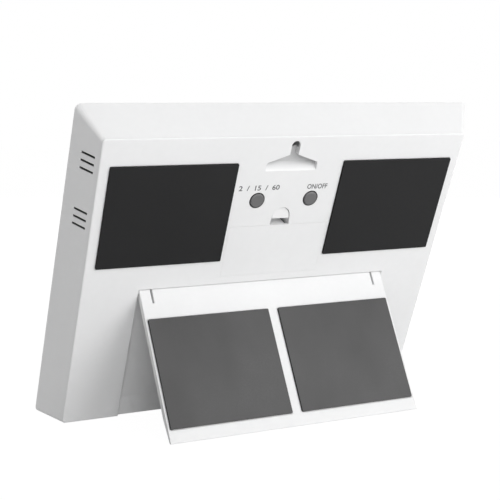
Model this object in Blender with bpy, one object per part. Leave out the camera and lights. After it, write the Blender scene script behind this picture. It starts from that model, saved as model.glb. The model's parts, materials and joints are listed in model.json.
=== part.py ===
"""Digital timer with a large display, leaning back on the fold-out stand of its rear case.

Units are metres. The pieces are laid out in the case's own frame: X to the right as seen
from the display side, Y out of the back and Z up along the back, with the origin in the
middle of the back face's bottom edge. An empty then leans that frame back until the back's
bottom edge and the stand's foot both touch the floor. World -Y is the display side.
"""
import math

import bmesh
import bpy
from mathutils import Matrix, Vector

# Clearances
FIT = 0.0003                    # between pieces that touch or slide
PIN_PLAY = 0.0001               # round the stand's pivot pins, and under a pressed stem
ROOM = 0.0013                   # between neighbours inside the case
EMBED = 0.0010                  # how far a fused rib or boss sinks into its wall
PAST = 0.0010                   # how far a cutter runs past the faces it opens
SHARP_ANGLE = 28.0              # edges steeper than this stay sharp

# Rear case
RIM_WIDTH = 0.1832
RIM_HEIGHT = 0.1411
SIDE_DRAFT = 0.00755            # back face inside the rim, each side
TOP_DRAFT = 0.0092
RIM_DROP = 0.0022               # rim's bottom below the back face's bottom edge
SHELL_DEPTH = 0.0134            # back face to rim
RIM_CORNER = 0.0026
REAR_CORNER = 0.0016
REAR_FILLET = 0.0007
BACK_WALL = 0.0020
SIDE_WALL = 0.0020              # measured level, across the drafted wall
INNER_CORNER = 0.0008           # least radius inside the walls
CORNER_STEPS = 5
REAR_WIDTH = RIM_WIDTH - 2 * SIDE_DRAFT
REAR_HEIGHT = RIM_HEIGHT - RIM_DROP - TOP_DRAFT

# Front case
FRONT_DEPTH = 0.0073            # seam to front face
FRONT_SET_IN = 0.0003           # front case inside the rear case's rim at the seam
FRONT_START_ANGLE = 31.0        # the bezel falls away from the rim at this angle
FRONT_END_ANGLE = 60.0          # and meets the front face at this one
FRONT_CORNER = 0.0040
FRONT_STEPS = 5
FRONT_SIDE_WALL = 0.0041
TONGUE_THICKNESS = 0.0010
TONGUE_HEIGHT = 0.0014          # past the rear case's rim

# Front keys, in one row; the start key takes what the others leave
KEY_WIDTH = 0.0240
KEY_GAP = 0.0060                # between the minute and second keys
KEY_GROUP_GAP = 0.0120          # before the reset key and before the start key
KEY_ROW_SIDE = 0.0196           # rim to the row's ends
KEY_ROW_RISE = 0.0162           # rim's bottom to the row's bottom edge
KEY_HEIGHT = 0.0130
KEY_CORNER = 0.0030
KEY_PROUD = 0.0010
KEY_TRAVEL = 0.0007
KEY_FLANGE = 0.0012             # retaining flange past the cap, all round
KEY_FLANGE_THICKNESS = 0.0010
KEY_STEM_RADIUS = 0.0022
KEY_EDGE = 0.0004
MEMBRANE_THICKNESS = 0.0006
MEMBRANE_MARGIN = 0.0016        # sheet past the row, all round
KEY_ROW_WIDTH = RIM_WIDTH - 2 * KEY_ROW_SIDE
KEY_ROW_Z = KEY_ROW_RISE - RIM_DROP + KEY_HEIGHT / 2

# Case screws: the upper pair under the back's magnet sheets, the lower pair in the stand's recess
SCREW_HEAD_RADIUS = 0.0025
SCREW_HEAD = 0.0018
SCREW_RADIUS = 0.0013
SCREW_LENGTH = 0.0120
SCREW_HEAD_SINK = 0.0034        # head's top below the back face
SCREW_BOSS_RADIUS = 0.0042
SCREW_POST_RADIUS = 0.0032
SCREW_LOWER_X = 0.0400
SCREW_UPPER_DROP = 0.0237       # below the back face's top edge
CROSS_WIDTH = 0.0006
CROSS_DEPTH = 0.0010
SCREW_LOWER_Z = KEY_ROW_Z + KEY_HEIGHT / 2 + KEY_FLANGE + ROOM + SCREW_BOSS_RADIUS
SCREW_UPPER_Z = REAR_HEIGHT - SCREW_UPPER_DROP

# Display, between the lower screws' posts and the top of the front face
WINDOW_SIDE = 0.0256            # rim to window opening
WINDOW_TOP = 0.0219
WINDOW_CORNER = 0.0020
LENS_LAP = 0.0040               # lens past the window opening, all round
LENS_THICKNESS = 0.0013
LENS_LEDGE = 0.0008
GLASS_THICKNESS = 0.0011
GLASS_LAP = 0.0040              # rear glass past the window opening, all round
CONTACT_LEDGE = 0.0030          # front glass past the rear glass, top and bottom
ZEBRA_THICKNESS = 0.0012
ZEBRA_HEIGHT = 0.0022
ZEBRA_INSET = 0.0020            # strip's ends from the glass's ends
HOLDER_WALL = 0.0022
HOLDER_BOTTOM_Z = SCREW_LOWER_Z + SCREW_POST_RADIUS + ROOM
WINDOW_BOTTOM_Z = HOLDER_BOTTOM_Z + HOLDER_WALL + FIT + CONTACT_LEDGE + GLASS_LAP
WINDOW_TOP_Z = RIM_HEIGHT - RIM_DROP - WINDOW_TOP
WINDOW_WIDTH = RIM_WIDTH - 2 * WINDOW_SIDE
WINDOW_HEIGHT = WINDOW_TOP_Z - WINDOW_BOTTOM_Z
WINDOW_CENTRE_Z = (WINDOW_TOP_Z + WINDOW_BOTTOM_Z) / 2
HOLDER_HALF_WIDTH = WINDOW_WIDTH / 2 + GLASS_LAP + FIT + HOLDER_WALL
HOLDER_TOP_Z = 2 * WINDOW_CENTRE_Z - HOLDER_BOTTOM_Z
SCREW_UPPER_X = HOLDER_HALF_WIDTH + ROOM + SCREW_POST_RADIUS

# Circuit board and what sits on it
BOARD_THICKNESS = 0.0012
BOARD_CORNER = 0.0020
BOARD_SCREW_SIDE = 0.0086       # holder's ends to the board's screws
BOARD_SCREW_EDGE = 0.0031       # board's edge to its screws
BOARD_POST_RADIUS = 0.0022
BOARD_SCREW_RADIUS = 0.0010
BOARD_SCREW_LENGTH = 0.0045
BOARD_SCREW_HEAD_RADIUS = 0.0020
BOARD_SCREW_HEAD = 0.0013
CHIP_RADIUS = 0.0085
CHIP_HEIGHT = 0.0016
CHIP_STEPS = 5
CHIP_X = -0.0350
CRYSTAL_RADIUS = 0.0010
CRYSTAL_LENGTH = 0.0060
CRYSTAL_X = -0.0200
CAPACITOR_RADIUS = 0.0020
CAPACITOR_HEIGHT = 0.0050
SWITCH_SIZE = 0.0060
SWITCH_HEIGHT = 0.0035
PLUNGER_RADIUS = 0.0016
PLUNGER_HEIGHT = 0.0008
BOARD_SCREW_X = HOLDER_HALF_WIDTH - BOARD_SCREW_SIDE
BOARD_SCREW_HIGH_Z = HOLDER_TOP_Z + FIT + BOARD_POST_RADIUS
BOARD_SCREW_LOW_Z = HOLDER_BOTTOM_Z - FIT - BOARD_POST_RADIUS
BOARD_WIDTH = 2 * HOLDER_HALF_WIDTH
BOARD_TOP_Z = BOARD_SCREW_HIGH_Z + BOARD_SCREW_EDGE
BOARD_BOTTOM_Z = KEY_ROW_Z - KEY_HEIGHT / 2 - KEY_FLANGE - BOARD_SCREW_EDGE

# Back buttons
BUTTON_DROP = 0.0282            # below the back face's top edge
ALARM_BUTTON_X = 0.0130
SOUND_BUTTON_X = -0.0124
BUTTON_RADIUS = 0.0031
BUTTON_GAP = 0.00045
BUTTON_PROUD = 0.0005
BUTTON_EDGE = 0.0004
BUTTON_FLANGE_RADIUS = 0.0044
BUTTON_FLANGE_THICKNESS = 0.0010
BUTTON_STEM_RADIUS = 0.0015
BUTTON_TRAVEL = 0.0006
BUTTON_Z = REAR_HEIGHT - BUTTON_DROP
CHIP_Z = BUTTON_Z + CHIP_RADIUS
CRYSTAL_Z = BUTTON_Z + SWITCH_SIZE / 2 + 2 * CAPACITOR_RADIUS + 3 * ROOM
CAPACITOR_X = CRYSTAL_X
CAPACITOR_Z = BUTTON_Z + SWITCH_SIZE / 2 + ROOM

# Hanging hole, measured down from the back face's top edge
HANGER_TOP_DROP = 0.0018
HANGER_HEIGHT = 0.0133
HANGER_WIDTH = 0.0240
HANGER_TIP_HEIGHT = 0.0028      # height of the funnel's short ends
HANGER_NECK_LENGTH = 0.0061     # where the funnel's slopes meet the neck, below its top
HANGER_NECK_RADIUS = 0.0020
HANGER_DEPTH = 0.0032
HANGER_RAMP = 0.0030            # rise of the funnel's floor from its bottom edge to the crease
HANGER_TIP_RADIUS = 0.0012      # rounding of the funnel's ends
NAIL_HOLE_RADIUS = 0.0018
NAIL_HOLE_DEPTH = 0.0080
HANGER_WALL = 0.0016
HANGER_TOP_Z = REAR_HEIGHT - HANGER_TOP_DROP
HANGER_BOTTOM_Z = HANGER_TOP_Z - HANGER_HEIGHT
HANGER_NECK_Z = HANGER_TOP_Z - HANGER_NECK_LENGTH

# Magnet sheets
BACK_MAGNET_WIDTH = 0.0550
BACK_MAGNET_HEIGHT = 0.0443
BACK_MAGNET_SIDE = 0.00415      # back face's side edge to the sheet
BACK_MAGNET_TOP = 0.0112        # back face's top edge to the sheet
STAND_MAGNET_WIDTH = 0.0554
STAND_MAGNET_X = 0.0301
STAND_MAGNET_FOOT = 0.0051      # foot to the sheet's lower edge
STAND_MAGNET_TOP = 0.0125       # pivot to the sheet's upper edge
MAGNET_THICKNESS = 0.0009
MAGNET_POCKET = 0.0004
MAGNET_CORNER = 0.0004
MAGNET_BED = 0.0002             # adhesive between sheet and pocket floor
BACK_MAGNET_X = REAR_WIDTH / 2 - BACK_MAGNET_SIDE - BACK_MAGNET_WIDTH / 2
BACK_MAGNET_Z = REAR_HEIGHT - BACK_MAGNET_TOP - BACK_MAGNET_HEIGHT / 2

# Battery bay, measured down from the back face's top edge
CELL_RADIUS = 0.00525
CELL_LENGTH = 0.0445
CELL_NUB_RADIUS = 0.0019
CELL_NUB_LENGTH = 0.0008
CELL_SHOULDER = 0.0006          # bevel at the nub end
CELL_BASE_EDGE = 0.0008         # rolled edge round the flat end
CELL_BASE_RECESS = 0.0003
CELL_POLE_SHARE = 0.6           # flat pole's radius over the cell's
CELL_GAP = 0.0002
BAY_DROP = 0.0627               # top edge to the bay's lower wall
BAY_FLOOR = 0.0010
BAY_WALL = 0.0018
BAY_END_WALL = 0.0018
BAY_LEDGE = 0.0010              # what the cover rests on, above and below the cells
BAY_HEADROOM = 0.0005
SPRING_LENGTH = 0.0036
SPRING_WIRE_RADIUS = 0.00028
SPRING_BASE_RADIUS = 0.0036
SPRING_TIP_RADIUS = 0.0026
SPRING_TURNS = 3
SPRING_POINTS_PER_TURN = 12
CONTACT_THICKNESS = 0.0004
CONTACT_WIDTH = 0.0088
TAIL_WIDTH = 0.0024
TAIL_LENGTH = 0.0035
COVER_SIDE = 0.0018             # bay's ends to the cover's opening
COVER_THICKNESS = 0.0013
COVER_RIB_HEIGHT = 0.0005
COVER_RIB_WIDTH = 0.0016
COVER_RIB_END = 0.0045          # cover's ends to the rib's
BAY_BOTTOM_Z = REAR_HEIGHT - BAY_DROP
CELL_LOW_Z = BAY_BOTTOM_Z + CELL_GAP + CELL_RADIUS
CELL_HIGH_Z = CELL_LOW_Z + 2 * CELL_RADIUS + CELL_GAP
BAY_TOP_Z = CELL_HIGH_Z + CELL_RADIUS + BAY_HEADROOM
OPENING_BOTTOM_Z = BAY_BOTTOM_Z - BAY_LEDGE
OPENING_TOP_Z = BAY_TOP_Z + BAY_LEDGE
BAY_HALF_LENGTH = (CELL_LENGTH + SPRING_LENGTH + 2 * CONTACT_THICKNESS + 5 * FIT) / 2
COVER_HALF_OPENING = BAY_HALF_LENGTH - COVER_SIDE
COVER_TOP_Z = OPENING_TOP_Z - FIT

# Cover latch and the notch it sits in
LATCH_NOTCH_HALF_WIDTH = 0.0046
LATCH_NOTCH_HEIGHT = 0.0079
LATCH_ARCH_RADIUS = 0.0042
LATCH_NOTCH_DEPTH = 0.0082
LATCH_GAP = 0.0031              # slot between the cover's edge and the finger tab
LATCH_LEG = 0.0008
LATCH_SET_BACK = 0.0002         # near leg inside the cover's edge
LATCH_DROP = 0.0068
LATCH_TAB_THICKNESS = 0.0009
LATCH_TAB_SINK = 0.0001         # lower edge of the finger tab below the back face
LATCH_TAB_SLOPE = 0.0006        # the tab's top edge sinks this much below its lower edge

# Stand
STAND_WIDTH = 0.1178
STAND_THICKNESS = 0.0024
STAND_OPEN_ANGLE = 50.3         # from folded flat to the stop
STAND_STRIP = 0.0034            # back face between the stand's recess and the battery cover
STAND_OVERHANG = 0.0021         # folded foot below the back face, as a finger grip
STAND_SINK = 0.00005            # folded outer face below the back face
TOE_THICKNESS = 0.0009
TOE_TAPER = 0.0100
EAR_CORNER = 0.0014             # rounding of the nose's two ends, seen from the back
PIN_RADIUS = 0.00075
PIN_LENGTH = 0.0017
SLIT_SIDE = 0.0052              # stand's side edge to the slit
SLIT_WIDTH = 0.0009
SLIT_LENGTH = 0.0068            # from the nose
RECESS_WALL = 0.0022
RECESS_FLOOR_WALL = 0.0018
RECESS_CHAMFER = 0.0004
RECESS_TOP_Z = OPENING_BOTTOM_Z - STAND_STRIP
STAND_PIVOT_Z = RECESS_TOP_Z - FIT - STAND_THICKNESS / 2
STAND_REACH = STAND_PIVOT_Z + STAND_OVERHANG
STAND_MAGNET_HEIGHT = STAND_REACH - STAND_MAGNET_FOOT - STAND_MAGNET_TOP
STAND_MAGNET_REACH = STAND_MAGNET_TOP + STAND_MAGNET_HEIGHT / 2

# Sound outlet and sounder
VENT_DROPS = (0.0084, 0.0116, 0.0148, 0.0322, 0.0354, 0.0386)   # below the back face's top edge
VENT_NEAR = 0.0025              # slot's ends, below the back face
VENT_FAR = 0.0086
VENT_HEIGHT = 0.0010
PIEZO_SIDE = 0.0300             # back face's side edge to the sounder's middle
PIEZO_DROP = 0.0317
PIEZO_RADIUS = 0.0135
PIEZO_THICKNESS = 0.0004
CERAMIC_RADIUS = 0.0100
CERAMIC_THICKNESS = 0.0003
PIEZO_RING_WALL = 0.0013
PIEZO_LEDGE = 0.0016
PIEZO_CHAMBER = 0.0024          # back wall to disc
PIEZO_RING_HEIGHT = 0.0040
PIEZO_X = REAR_WIDTH / 2 - PIEZO_SIDE
PIEZO_Z = REAR_HEIGHT - PIEZO_DROP

# Wires
WIRE_RADIUS = 0.0005
WIRE_POINTS = 9
SOUNDER_WIRE_OFFSET = 0.0040    # each wire from the disc's middle
SOUNDER_WIRE_REACH = 0.0120
BATTERY_WIRE_REACH = 0.0075
BATTERY_WIRE_RISE = 0.0030

# Depths worked out from the stack, as Y in the case's frame
SEAM_Y = -(SHELL_DEPTH + FIT)
FRONT_Y = SEAM_Y - FRONT_DEPTH
FRONT_WALL = LENS_THICKNESS + FIT + LENS_LEDGE
FRONT_INNER_Y = FRONT_Y + FRONT_WALL
GLASS_FRONT_Y = FRONT_INNER_Y + FIT
GLASS_LEDGE_Y = GLASS_FRONT_Y + GLASS_THICKNESS
GLASS_BACK_Y = GLASS_LEDGE_Y + GLASS_THICKNESS
ZEBRA_FRONT_Y = GLASS_LEDGE_Y + FIT
BOARD_FRONT_Y = ZEBRA_FRONT_Y + ZEBRA_THICKNESS + FIT
BOARD_BACK_Y = BOARD_FRONT_Y + BOARD_THICKNESS
BAY_OUTER_Y = BOARD_BACK_Y + FIT
BAY_INNER_Y = BAY_OUTER_Y + BAY_FLOOR
CELL_Y = BAY_INNER_Y + FIT + CELL_RADIUS
PIVOT_Y = -(STAND_SINK + STAND_THICKNESS / 2)
RECESS_Y = PIVOT_Y - STAND_THICKNESS / 2 - FIT
SCREW_SEAT_Y = -(SCREW_HEAD_SINK + SCREW_HEAD)
BOSS_END_Y = SEAM_Y + FIT + EMBED / 2
KEY_FLANGE_Y = FRONT_INNER_Y + FIT
MEMBRANE_FRONT_Y = BOARD_FRONT_Y - FIT - MEMBRANE_THICKNESS
SWITCH_TOP_Y = BOARD_BACK_Y + FIT + SWITCH_HEIGHT + PLUNGER_HEIGHT


def clear_scene():
    """Take away whatever the new file holds."""
    for thing in list(bpy.data.objects):
        bpy.data.objects.remove(thing, do_unlink=True)


def new_collection(name):
    collection = bpy.data.collections.new(name)
    bpy.context.scene.collection.children.link(collection)
    return collection


def new_material(name, colour, roughness, metallic=0.0, alpha=1.0):
    material = bpy.data.materials.new(name)
    material.use_nodes = True
    shader = material.node_tree.nodes["Principled BSDF"]
    shader.inputs["Base Color"].default_value = (*colour, 1.0)
    shader.inputs["Roughness"].default_value = roughness
    shader.inputs["Metallic"].default_value = metallic
    shader.inputs["Alpha"].default_value = alpha
    material.diffuse_color = (*colour, alpha)
    return material


# Outlines and sections

def mix(start, end, share):
    return start + (end - start) * share


def rounded_rectangle(half_width, bottom, top, radius, steps=CORNER_STEPS):
    """Points round a rectangle with arc corners, anticlockwise from the lower right."""
    points = []
    low = bottom + radius
    high = top - radius
    for side, height, first in ((1, low, 270), (1, high, 0), (-1, high, 90), (-1, low, 180)):
        for step in range(steps + 1):
            angle = math.radians(first + 90 * step / steps)
            x = side * (half_width - radius) + radius * math.cos(angle)
            points.append((x, height + radius * math.sin(angle)))
    return points


def half_circle(radius, height, steps=8):
    """Points over the top of a circle on the Z axis, from its right side to its left."""
    angles = [math.pi * step / steps for step in range(steps + 1)]
    return [(radius * math.cos(angle), height + radius * math.sin(angle)) for angle in angles]


def shifted(points, dx, dz):
    return [(x + dx, z + dz) for x, z in points]


def rear_section(depth, inset=0.0):
    """The rear case's outline at a depth below the back face, drawn in by an inset."""
    share = depth / SHELL_DEPTH
    half_width = mix(REAR_WIDTH, RIM_WIDTH, share) / 2 - inset
    bottom = mix(0.0, -RIM_DROP, share) + inset
    top = mix(REAR_HEIGHT, RIM_HEIGHT - RIM_DROP, share) - inset
    radius = max(mix(REAR_CORNER, RIM_CORNER, share) - inset, INNER_CORNER)
    return rounded_rectangle(half_width, bottom, top, radius)


def rim_section(inset, radius):
    """An outline drawn in from the rim, with a corner radius of its own."""
    bottom = -RIM_DROP + inset
    top = RIM_HEIGHT - RIM_DROP - inset
    return rounded_rectangle(RIM_WIDTH / 2 - inset, bottom, top, radius)


# Meshes

def mesh_from_bmesh(bm):
    bmesh.ops.recalc_face_normals(bm, faces=bm.faces)
    mesh = bpy.data.meshes.new("mesh")
    bm.to_mesh(mesh)
    bm.free()
    return mesh


def loft(sections):
    """A closed solid through outlines with equal point counts; each is (y, outline)."""
    bm = bmesh.new()
    rings = [[bm.verts.new((x, y, z)) for x, z in outline] for y, outline in sections]
    for near, far in zip(rings, rings[1:]):
        for index in range(len(near)):
            after = (index + 1) % len(near)
            bm.faces.new((near[index], near[after], far[after], far[index]))
    bm.faces.new(rings[0])
    bm.faces.new(rings[-1])
    return mesh_from_bmesh(bm)


def mesh_from_curve(curve):
    """The curve's solid as a mesh, with its loose caps welded on."""
    holder = bpy.data.objects.new("curve", curve)
    bpy.context.scene.collection.objects.link(holder)
    graph = bpy.context.evaluated_depsgraph_get()
    mesh = bpy.data.meshes.new_from_object(holder.evaluated_get(graph))
    bpy.data.objects.remove(holder)
    bm = bmesh.new()
    bm.from_mesh(mesh)
    bmesh.ops.remove_doubles(bm, verts=bm.verts, dist=0.000001)
    bm.to_mesh(mesh)
    bm.free()
    return mesh


# How a flat outline's own X, Y and Z lie when it is extruded along an axis of the case
EXTRUDE_FRAMES = {
    "x": Matrix(((0, 0, 1), (1, 0, 0), (0, 1, 0))).to_4x4(),
    "y": Matrix(((1, 0, 0), (0, 0, -1), (0, 1, 0))).to_4x4(),
    "z": Matrix.Identity(4),
}


def prism(outline, start, end, axis="y"):
    """A flat outline extruded between two places along an axis.

    Along y the outline is (x, z), along x it is (y, z) and along z it is (x, y).
    """
    curve = bpy.data.curves.new("outline", "CURVE")
    curve.dimensions = "2D"
    curve.fill_mode = "BOTH"
    curve.extrude = abs(end - start) / 2
    spline = curve.splines.new("POLY")
    spline.points.add(len(outline) - 1)
    for point, (across, up) in zip(spline.points, outline):
        point.co = (across, up, 0.0, 1.0)
    spline.use_cyclic_u = True
    mesh = mesh_from_curve(curve)
    middle = Vector((0, 0, 0))
    middle["xyz".index(axis)] = (start + end) / 2
    mesh.transform(Matrix.Translation(middle) @ EXTRUDE_FRAMES[axis])
    return mesh


def box(x0, x1, y0, y1, z0, z1):
    bm = bmesh.new()
    bmesh.ops.create_cube(bm, size=1.0)
    bmesh.ops.scale(bm, vec=(x1 - x0, y1 - y0, z1 - z0), verts=bm.verts)
    bmesh.ops.translate(bm, vec=((x0 + x1) / 2, (y0 + y1) / 2, (z0 + z1) / 2), verts=bm.verts)
    return mesh_from_bmesh(bm)


def rod(radius, start, end, across, axis="y", segments=20):
    """A cylinder along an axis; across is its place on the other two axes."""
    bm = bmesh.new()
    bmesh.ops.create_cone(
        bm, cap_ends=True, segments=segments, radius1=radius, radius2=radius, depth=end - start)
    turn = Matrix.Rotation(math.radians(90), 4, "Y") if axis == "x" else Matrix.Identity(4)
    if axis == "y":
        turn = Matrix.Rotation(math.radians(-90), 4, "X")
    middle = (start + end) / 2
    place = (middle, *across) if axis == "x" else (across[0], middle, across[1])
    bmesh.ops.transform(bm, matrix=Matrix.Translation(place) @ turn, verts=bm.verts)
    return mesh_from_bmesh(bm)


def tube(points, radius, resolution=2):
    """A round wire through the points."""
    curve = bpy.data.curves.new("wire", "CURVE")
    curve.dimensions = "3D"
    curve.bevel_depth = radius
    curve.bevel_resolution = resolution
    curve.use_fill_caps = True
    spline = curve.splines.new("POLY")
    spline.points.add(len(points) - 1)
    for point, place in zip(spline.points, points):
        point.co = (*place, 1.0)
    return mesh_from_curve(curve)


def turned(profile, segments=24):
    """A solid turned round the Y axis; the profile is (radius, y), from its far end to its near one."""
    bm = bmesh.new()
    verts = [bm.verts.new((radius, y, 0.0)) for radius, y in profile]
    edges = [bm.edges.new(pair) for pair in zip(verts, verts[1:])]
    bmesh.ops.spin(
        bm, geom=verts + edges, cent=(0, 0, 0), axis=(0, 1, 0), angle=math.tau,
        steps=segments, use_duplicate=False)
    bmesh.ops.remove_doubles(bm, verts=bm.verts, dist=0.000001)
    return mesh_from_bmesh(bm)


def sliced(mesh, place, normal):
    """What is left of a solid behind a plane through a place."""
    bm = bmesh.new()
    bm.from_mesh(mesh)
    whole = bm.verts[:] + bm.edges[:] + bm.faces[:]
    bmesh.ops.bisect_plane(bm, geom=whole, plane_co=place, plane_no=normal, clear_outer=True)
    bmesh.ops.edgeloop_fill(bm, edges=[edge for edge in bm.edges if edge.is_boundary])
    return mesh_from_bmesh(bm)


def joined(meshes):
    """One mesh that holds several separate solids."""
    bm = bmesh.new()
    for mesh in meshes:
        bm.from_mesh(mesh)
    return mesh_from_bmesh(bm)


def moved(mesh, x=0.0, y=0.0, z=0.0):
    mesh.transform(Matrix.Translation((x, y, z)))
    return mesh


# Objects and how they are cut

class Timer:
    """The collections, materials and frame that every piece shares."""

    def __init__(self):
        self.parts = new_collection("digital_timer")
        self.cutters = new_collection("cutters")
        self.frame = bpy.data.objects.new("case_frame", None)
        self.parts.objects.link(self.frame)
        self.material = {
            "case": new_material("white_case_plastic", (0.86, 0.86, 0.86), 0.45),
            "magnet": new_material("black_magnet_sheet", (0.028, 0.028, 0.029), 0.55),
            "button": new_material("grey_button_plastic", (0.15, 0.15, 0.155), 0.5),
            "key": new_material("pale_grey_key_plastic", (0.62, 0.63, 0.65), 0.45),
            "lens": new_material("clear_acrylic", (0.9, 0.92, 0.93), 0.05, alpha=0.25),
            "glass": new_material("display_glass", (0.52, 0.56, 0.50), 0.15),
            "holder": new_material("white_holder_plastic", (0.75, 0.75, 0.74), 0.6),
            "rubber": new_material("grey_rubber", (0.25, 0.25, 0.26), 0.8),
            "zebra": new_material("pink_contact_rubber", (0.55, 0.30, 0.30), 0.8),
            "board": new_material("green_circuit_board", (0.05, 0.22, 0.09), 0.4),
            "epoxy": new_material("black_epoxy", (0.02, 0.02, 0.02), 0.25),
            "switch": new_material("black_switch_plastic", (0.03, 0.03, 0.03), 0.5),
            "brass": new_material("brass_disc", (0.72, 0.55, 0.25), 0.3, metallic=1.0),
            "nickel": new_material("nickel_plated_steel", (0.66, 0.66, 0.64), 0.3, metallic=1.0),
            "screw": new_material("zinc_plated_screw", (0.55, 0.56, 0.58), 0.35, metallic=1.0),
            "sleeve": new_material("battery_sleeve", (0.06, 0.10, 0.16), 0.35),
            "red": new_material("red_wire_insulation", (0.50, 0.03, 0.03), 0.5),
            "black": new_material("black_wire_insulation", (0.02, 0.02, 0.02), 0.5),
        }

    def add(self, name, mesh, material, origin=(0.0, 0.0, 0.0), parent=None):
        """Make a piece whose mesh is given in its parent's frame, with its origin where asked."""
        mesh.transform(Matrix.Translation(-Vector(origin)))
        return self.place(name, mesh, material, origin, parent)

    def place(self, name, mesh, material, location, parent=None):
        """Make a piece whose mesh is given round its own origin; pieces may share the mesh."""
        if not mesh.materials:
            mesh.name = name
            mesh.materials.append(self.material[material])
            mesh.shade_smooth()
            mesh.set_sharp_from_angle(angle=math.radians(SHARP_ANGLE))
        piece = bpy.data.objects.new(name, mesh)
        piece.parent = parent or self.frame
        piece.location = location
        self.parts.objects.link(piece)
        return piece

    def apply_tool(self, piece, mesh, operation, name, local):
        tool = bpy.data.objects.new(f"{piece.name}_{name}", mesh)
        tool.parent = piece if local else self.frame
        tool.display_type = "WIRE"
        tool.hide_render = True
        self.cutters.objects.link(tool)
        step = piece.modifiers.new(name, "BOOLEAN")
        step.operation = operation
        step.object = tool

    def cut(self, piece, mesh, name, local=False):
        """Take a shape out of a piece; it is in the piece's own frame when local."""
        self.apply_tool(piece, mesh, "DIFFERENCE", name, local)

    def fuse(self, piece, mesh, name, local=False):
        self.apply_tool(piece, mesh, "UNION", name, local)


# Outlines that the case shares with what fits it

def hanger_outline():
    """Funnel, neck and round top of the hanging hole."""
    half = HANGER_WIDTH / 2
    tip_z = HANGER_BOTTOM_Z + HANGER_TIP_HEIGHT
    top_centre = HANGER_TOP_Z - HANGER_NECK_RADIUS
    slope = math.atan2(HANGER_NECK_Z - tip_z, half - HANGER_NECK_RADIUS)
    right = [(half, HANGER_BOTTOM_Z)]
    round_x = half - HANGER_TIP_RADIUS
    for step in range(4):
        angle = mix(0.0, math.pi / 2 - slope, step / 3)
        right.append((
            round_x + HANGER_TIP_RADIUS * math.cos(angle), tip_z + HANGER_TIP_RADIUS * math.sin(angle)))
    right.append((HANGER_NECK_RADIUS, HANGER_NECK_Z))
    left = [(-x, z) for x, z in reversed(right)]
    return right + half_circle(HANGER_NECK_RADIUS, top_centre) + left


def latch_outline(gap, bottom):
    """The D shape of the latch notch, drawn in by a gap and cut off level at the bottom."""
    arch_z = OPENING_TOP_Z + LATCH_NOTCH_HEIGHT - LATCH_ARCH_RADIUS
    radius = LATCH_ARCH_RADIUS - gap
    slope = (LATCH_NOTCH_HALF_WIDTH - LATCH_ARCH_RADIUS) / (arch_z - OPENING_TOP_Z)
    foot = radius + slope * (arch_z - bottom)
    return [(-foot, bottom), (foot, bottom)] + half_circle(radius, arch_z, 10)


def screw_places():
    upper = [(side * SCREW_UPPER_X, SCREW_UPPER_Z) for side in (-1, 1)]
    lower = [(side * SCREW_LOWER_X, SCREW_LOWER_Z) for side in (-1, 1)]
    return upper + lower


def board_screw_places():
    heights = (BOARD_SCREW_LOW_Z, BOARD_SCREW_HIGH_Z)
    return [(side * BOARD_SCREW_X, height) for side in (-1, 1) for height in heights]


# Rear case

def add_rear_case(timer):
    fillet = [(-REAR_FILLET, rear_section(REAR_FILLET))]
    for degrees in (30, 60, 90):
        angle = math.radians(degrees)
        inset = REAR_FILLET * (1 - math.cos(angle))
        fillet.append((-REAR_FILLET * (1 - math.sin(angle)), rear_section(REAR_FILLET, inset)))
    case = timer.add("rear_case", loft([(-SHELL_DEPTH, rear_section(SHELL_DEPTH))] + fillet), "case")
    hollow = loft([
        (-SHELL_DEPTH - PAST, rear_section(SHELL_DEPTH + PAST, SIDE_WALL)),
        (-BACK_WALL, rear_section(BACK_WALL, SIDE_WALL)),
    ])
    timer.cut(case, hollow, "hollow")
    add_case_ribs(timer, case)
    cut_stand_recess(timer, case)
    cut_battery_bay(timer, case)
    cut_hanger(timer, case)
    cut_small_openings(timer, case)


def add_case_ribs(timer, case):
    """Walls behind the stand's recess and round the bay, and what the screws and sounder seat on."""
    pan_half = STAND_WIDTH / 2 + FIT + RECESS_WALL
    pan_top = STAND_PIVOT_Z + STAND_THICKNESS / 2 + FIT + RECESS_WALL
    pan = box(-pan_half, pan_half, RECESS_Y - RECESS_FLOOR_WALL, -EMBED, SIDE_WALL / 2, pan_top)
    timer.fuse(case, pan, "recess_pan")
    bay_half = BAY_HALF_LENGTH + BAY_END_WALL
    bay = box(-bay_half, bay_half, BAY_OUTER_Y, -EMBED, BAY_BOTTOM_Z - BAY_WALL, BAY_TOP_Z + BAY_WALL)
    timer.fuse(case, bay, "bay_walls")
    notch_wall = LATCH_NOTCH_HALF_WIDTH + BAY_WALL
    notch_top = OPENING_TOP_Z + LATCH_NOTCH_HEIGHT + BAY_WALL
    notch = box(-notch_wall, notch_wall, -LATCH_NOTCH_DEPTH - BAY_FLOOR, -EMBED, BAY_TOP_Z, notch_top)
    timer.fuse(case, notch, "latch_walls")
    half = HANGER_WIDTH / 2 + HANGER_WALL
    funnel = box(
        -half, half, -HANGER_DEPTH - HANGER_WALL, -EMBED,
        HANGER_BOTTOM_Z - HANGER_WALL, HANGER_TOP_Z + HANGER_WALL / 2)
    timer.fuse(case, funnel, "hanger_walls")
    well = rod(
        HANGER_NECK_RADIUS + HANGER_WALL, -NAIL_HOLE_DEPTH - HANGER_WALL, -EMBED,
        (0.0, HANGER_TOP_Z - HANGER_NECK_RADIUS), segments=16)
    timer.fuse(case, well, "nail_well")
    bosses = [rod(SCREW_BOSS_RADIUS, BOSS_END_Y, -EMBED, place) for place in screw_places()]
    timer.fuse(case, joined(bosses), "screw_bosses")
    ring = rod(
        PIEZO_RADIUS + FIT + PIEZO_RING_WALL, -BACK_WALL - PIEZO_RING_HEIGHT, -EMBED,
        (PIEZO_X, PIEZO_Z), segments=32)
    timer.fuse(case, ring, "sounder_ring")


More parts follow.
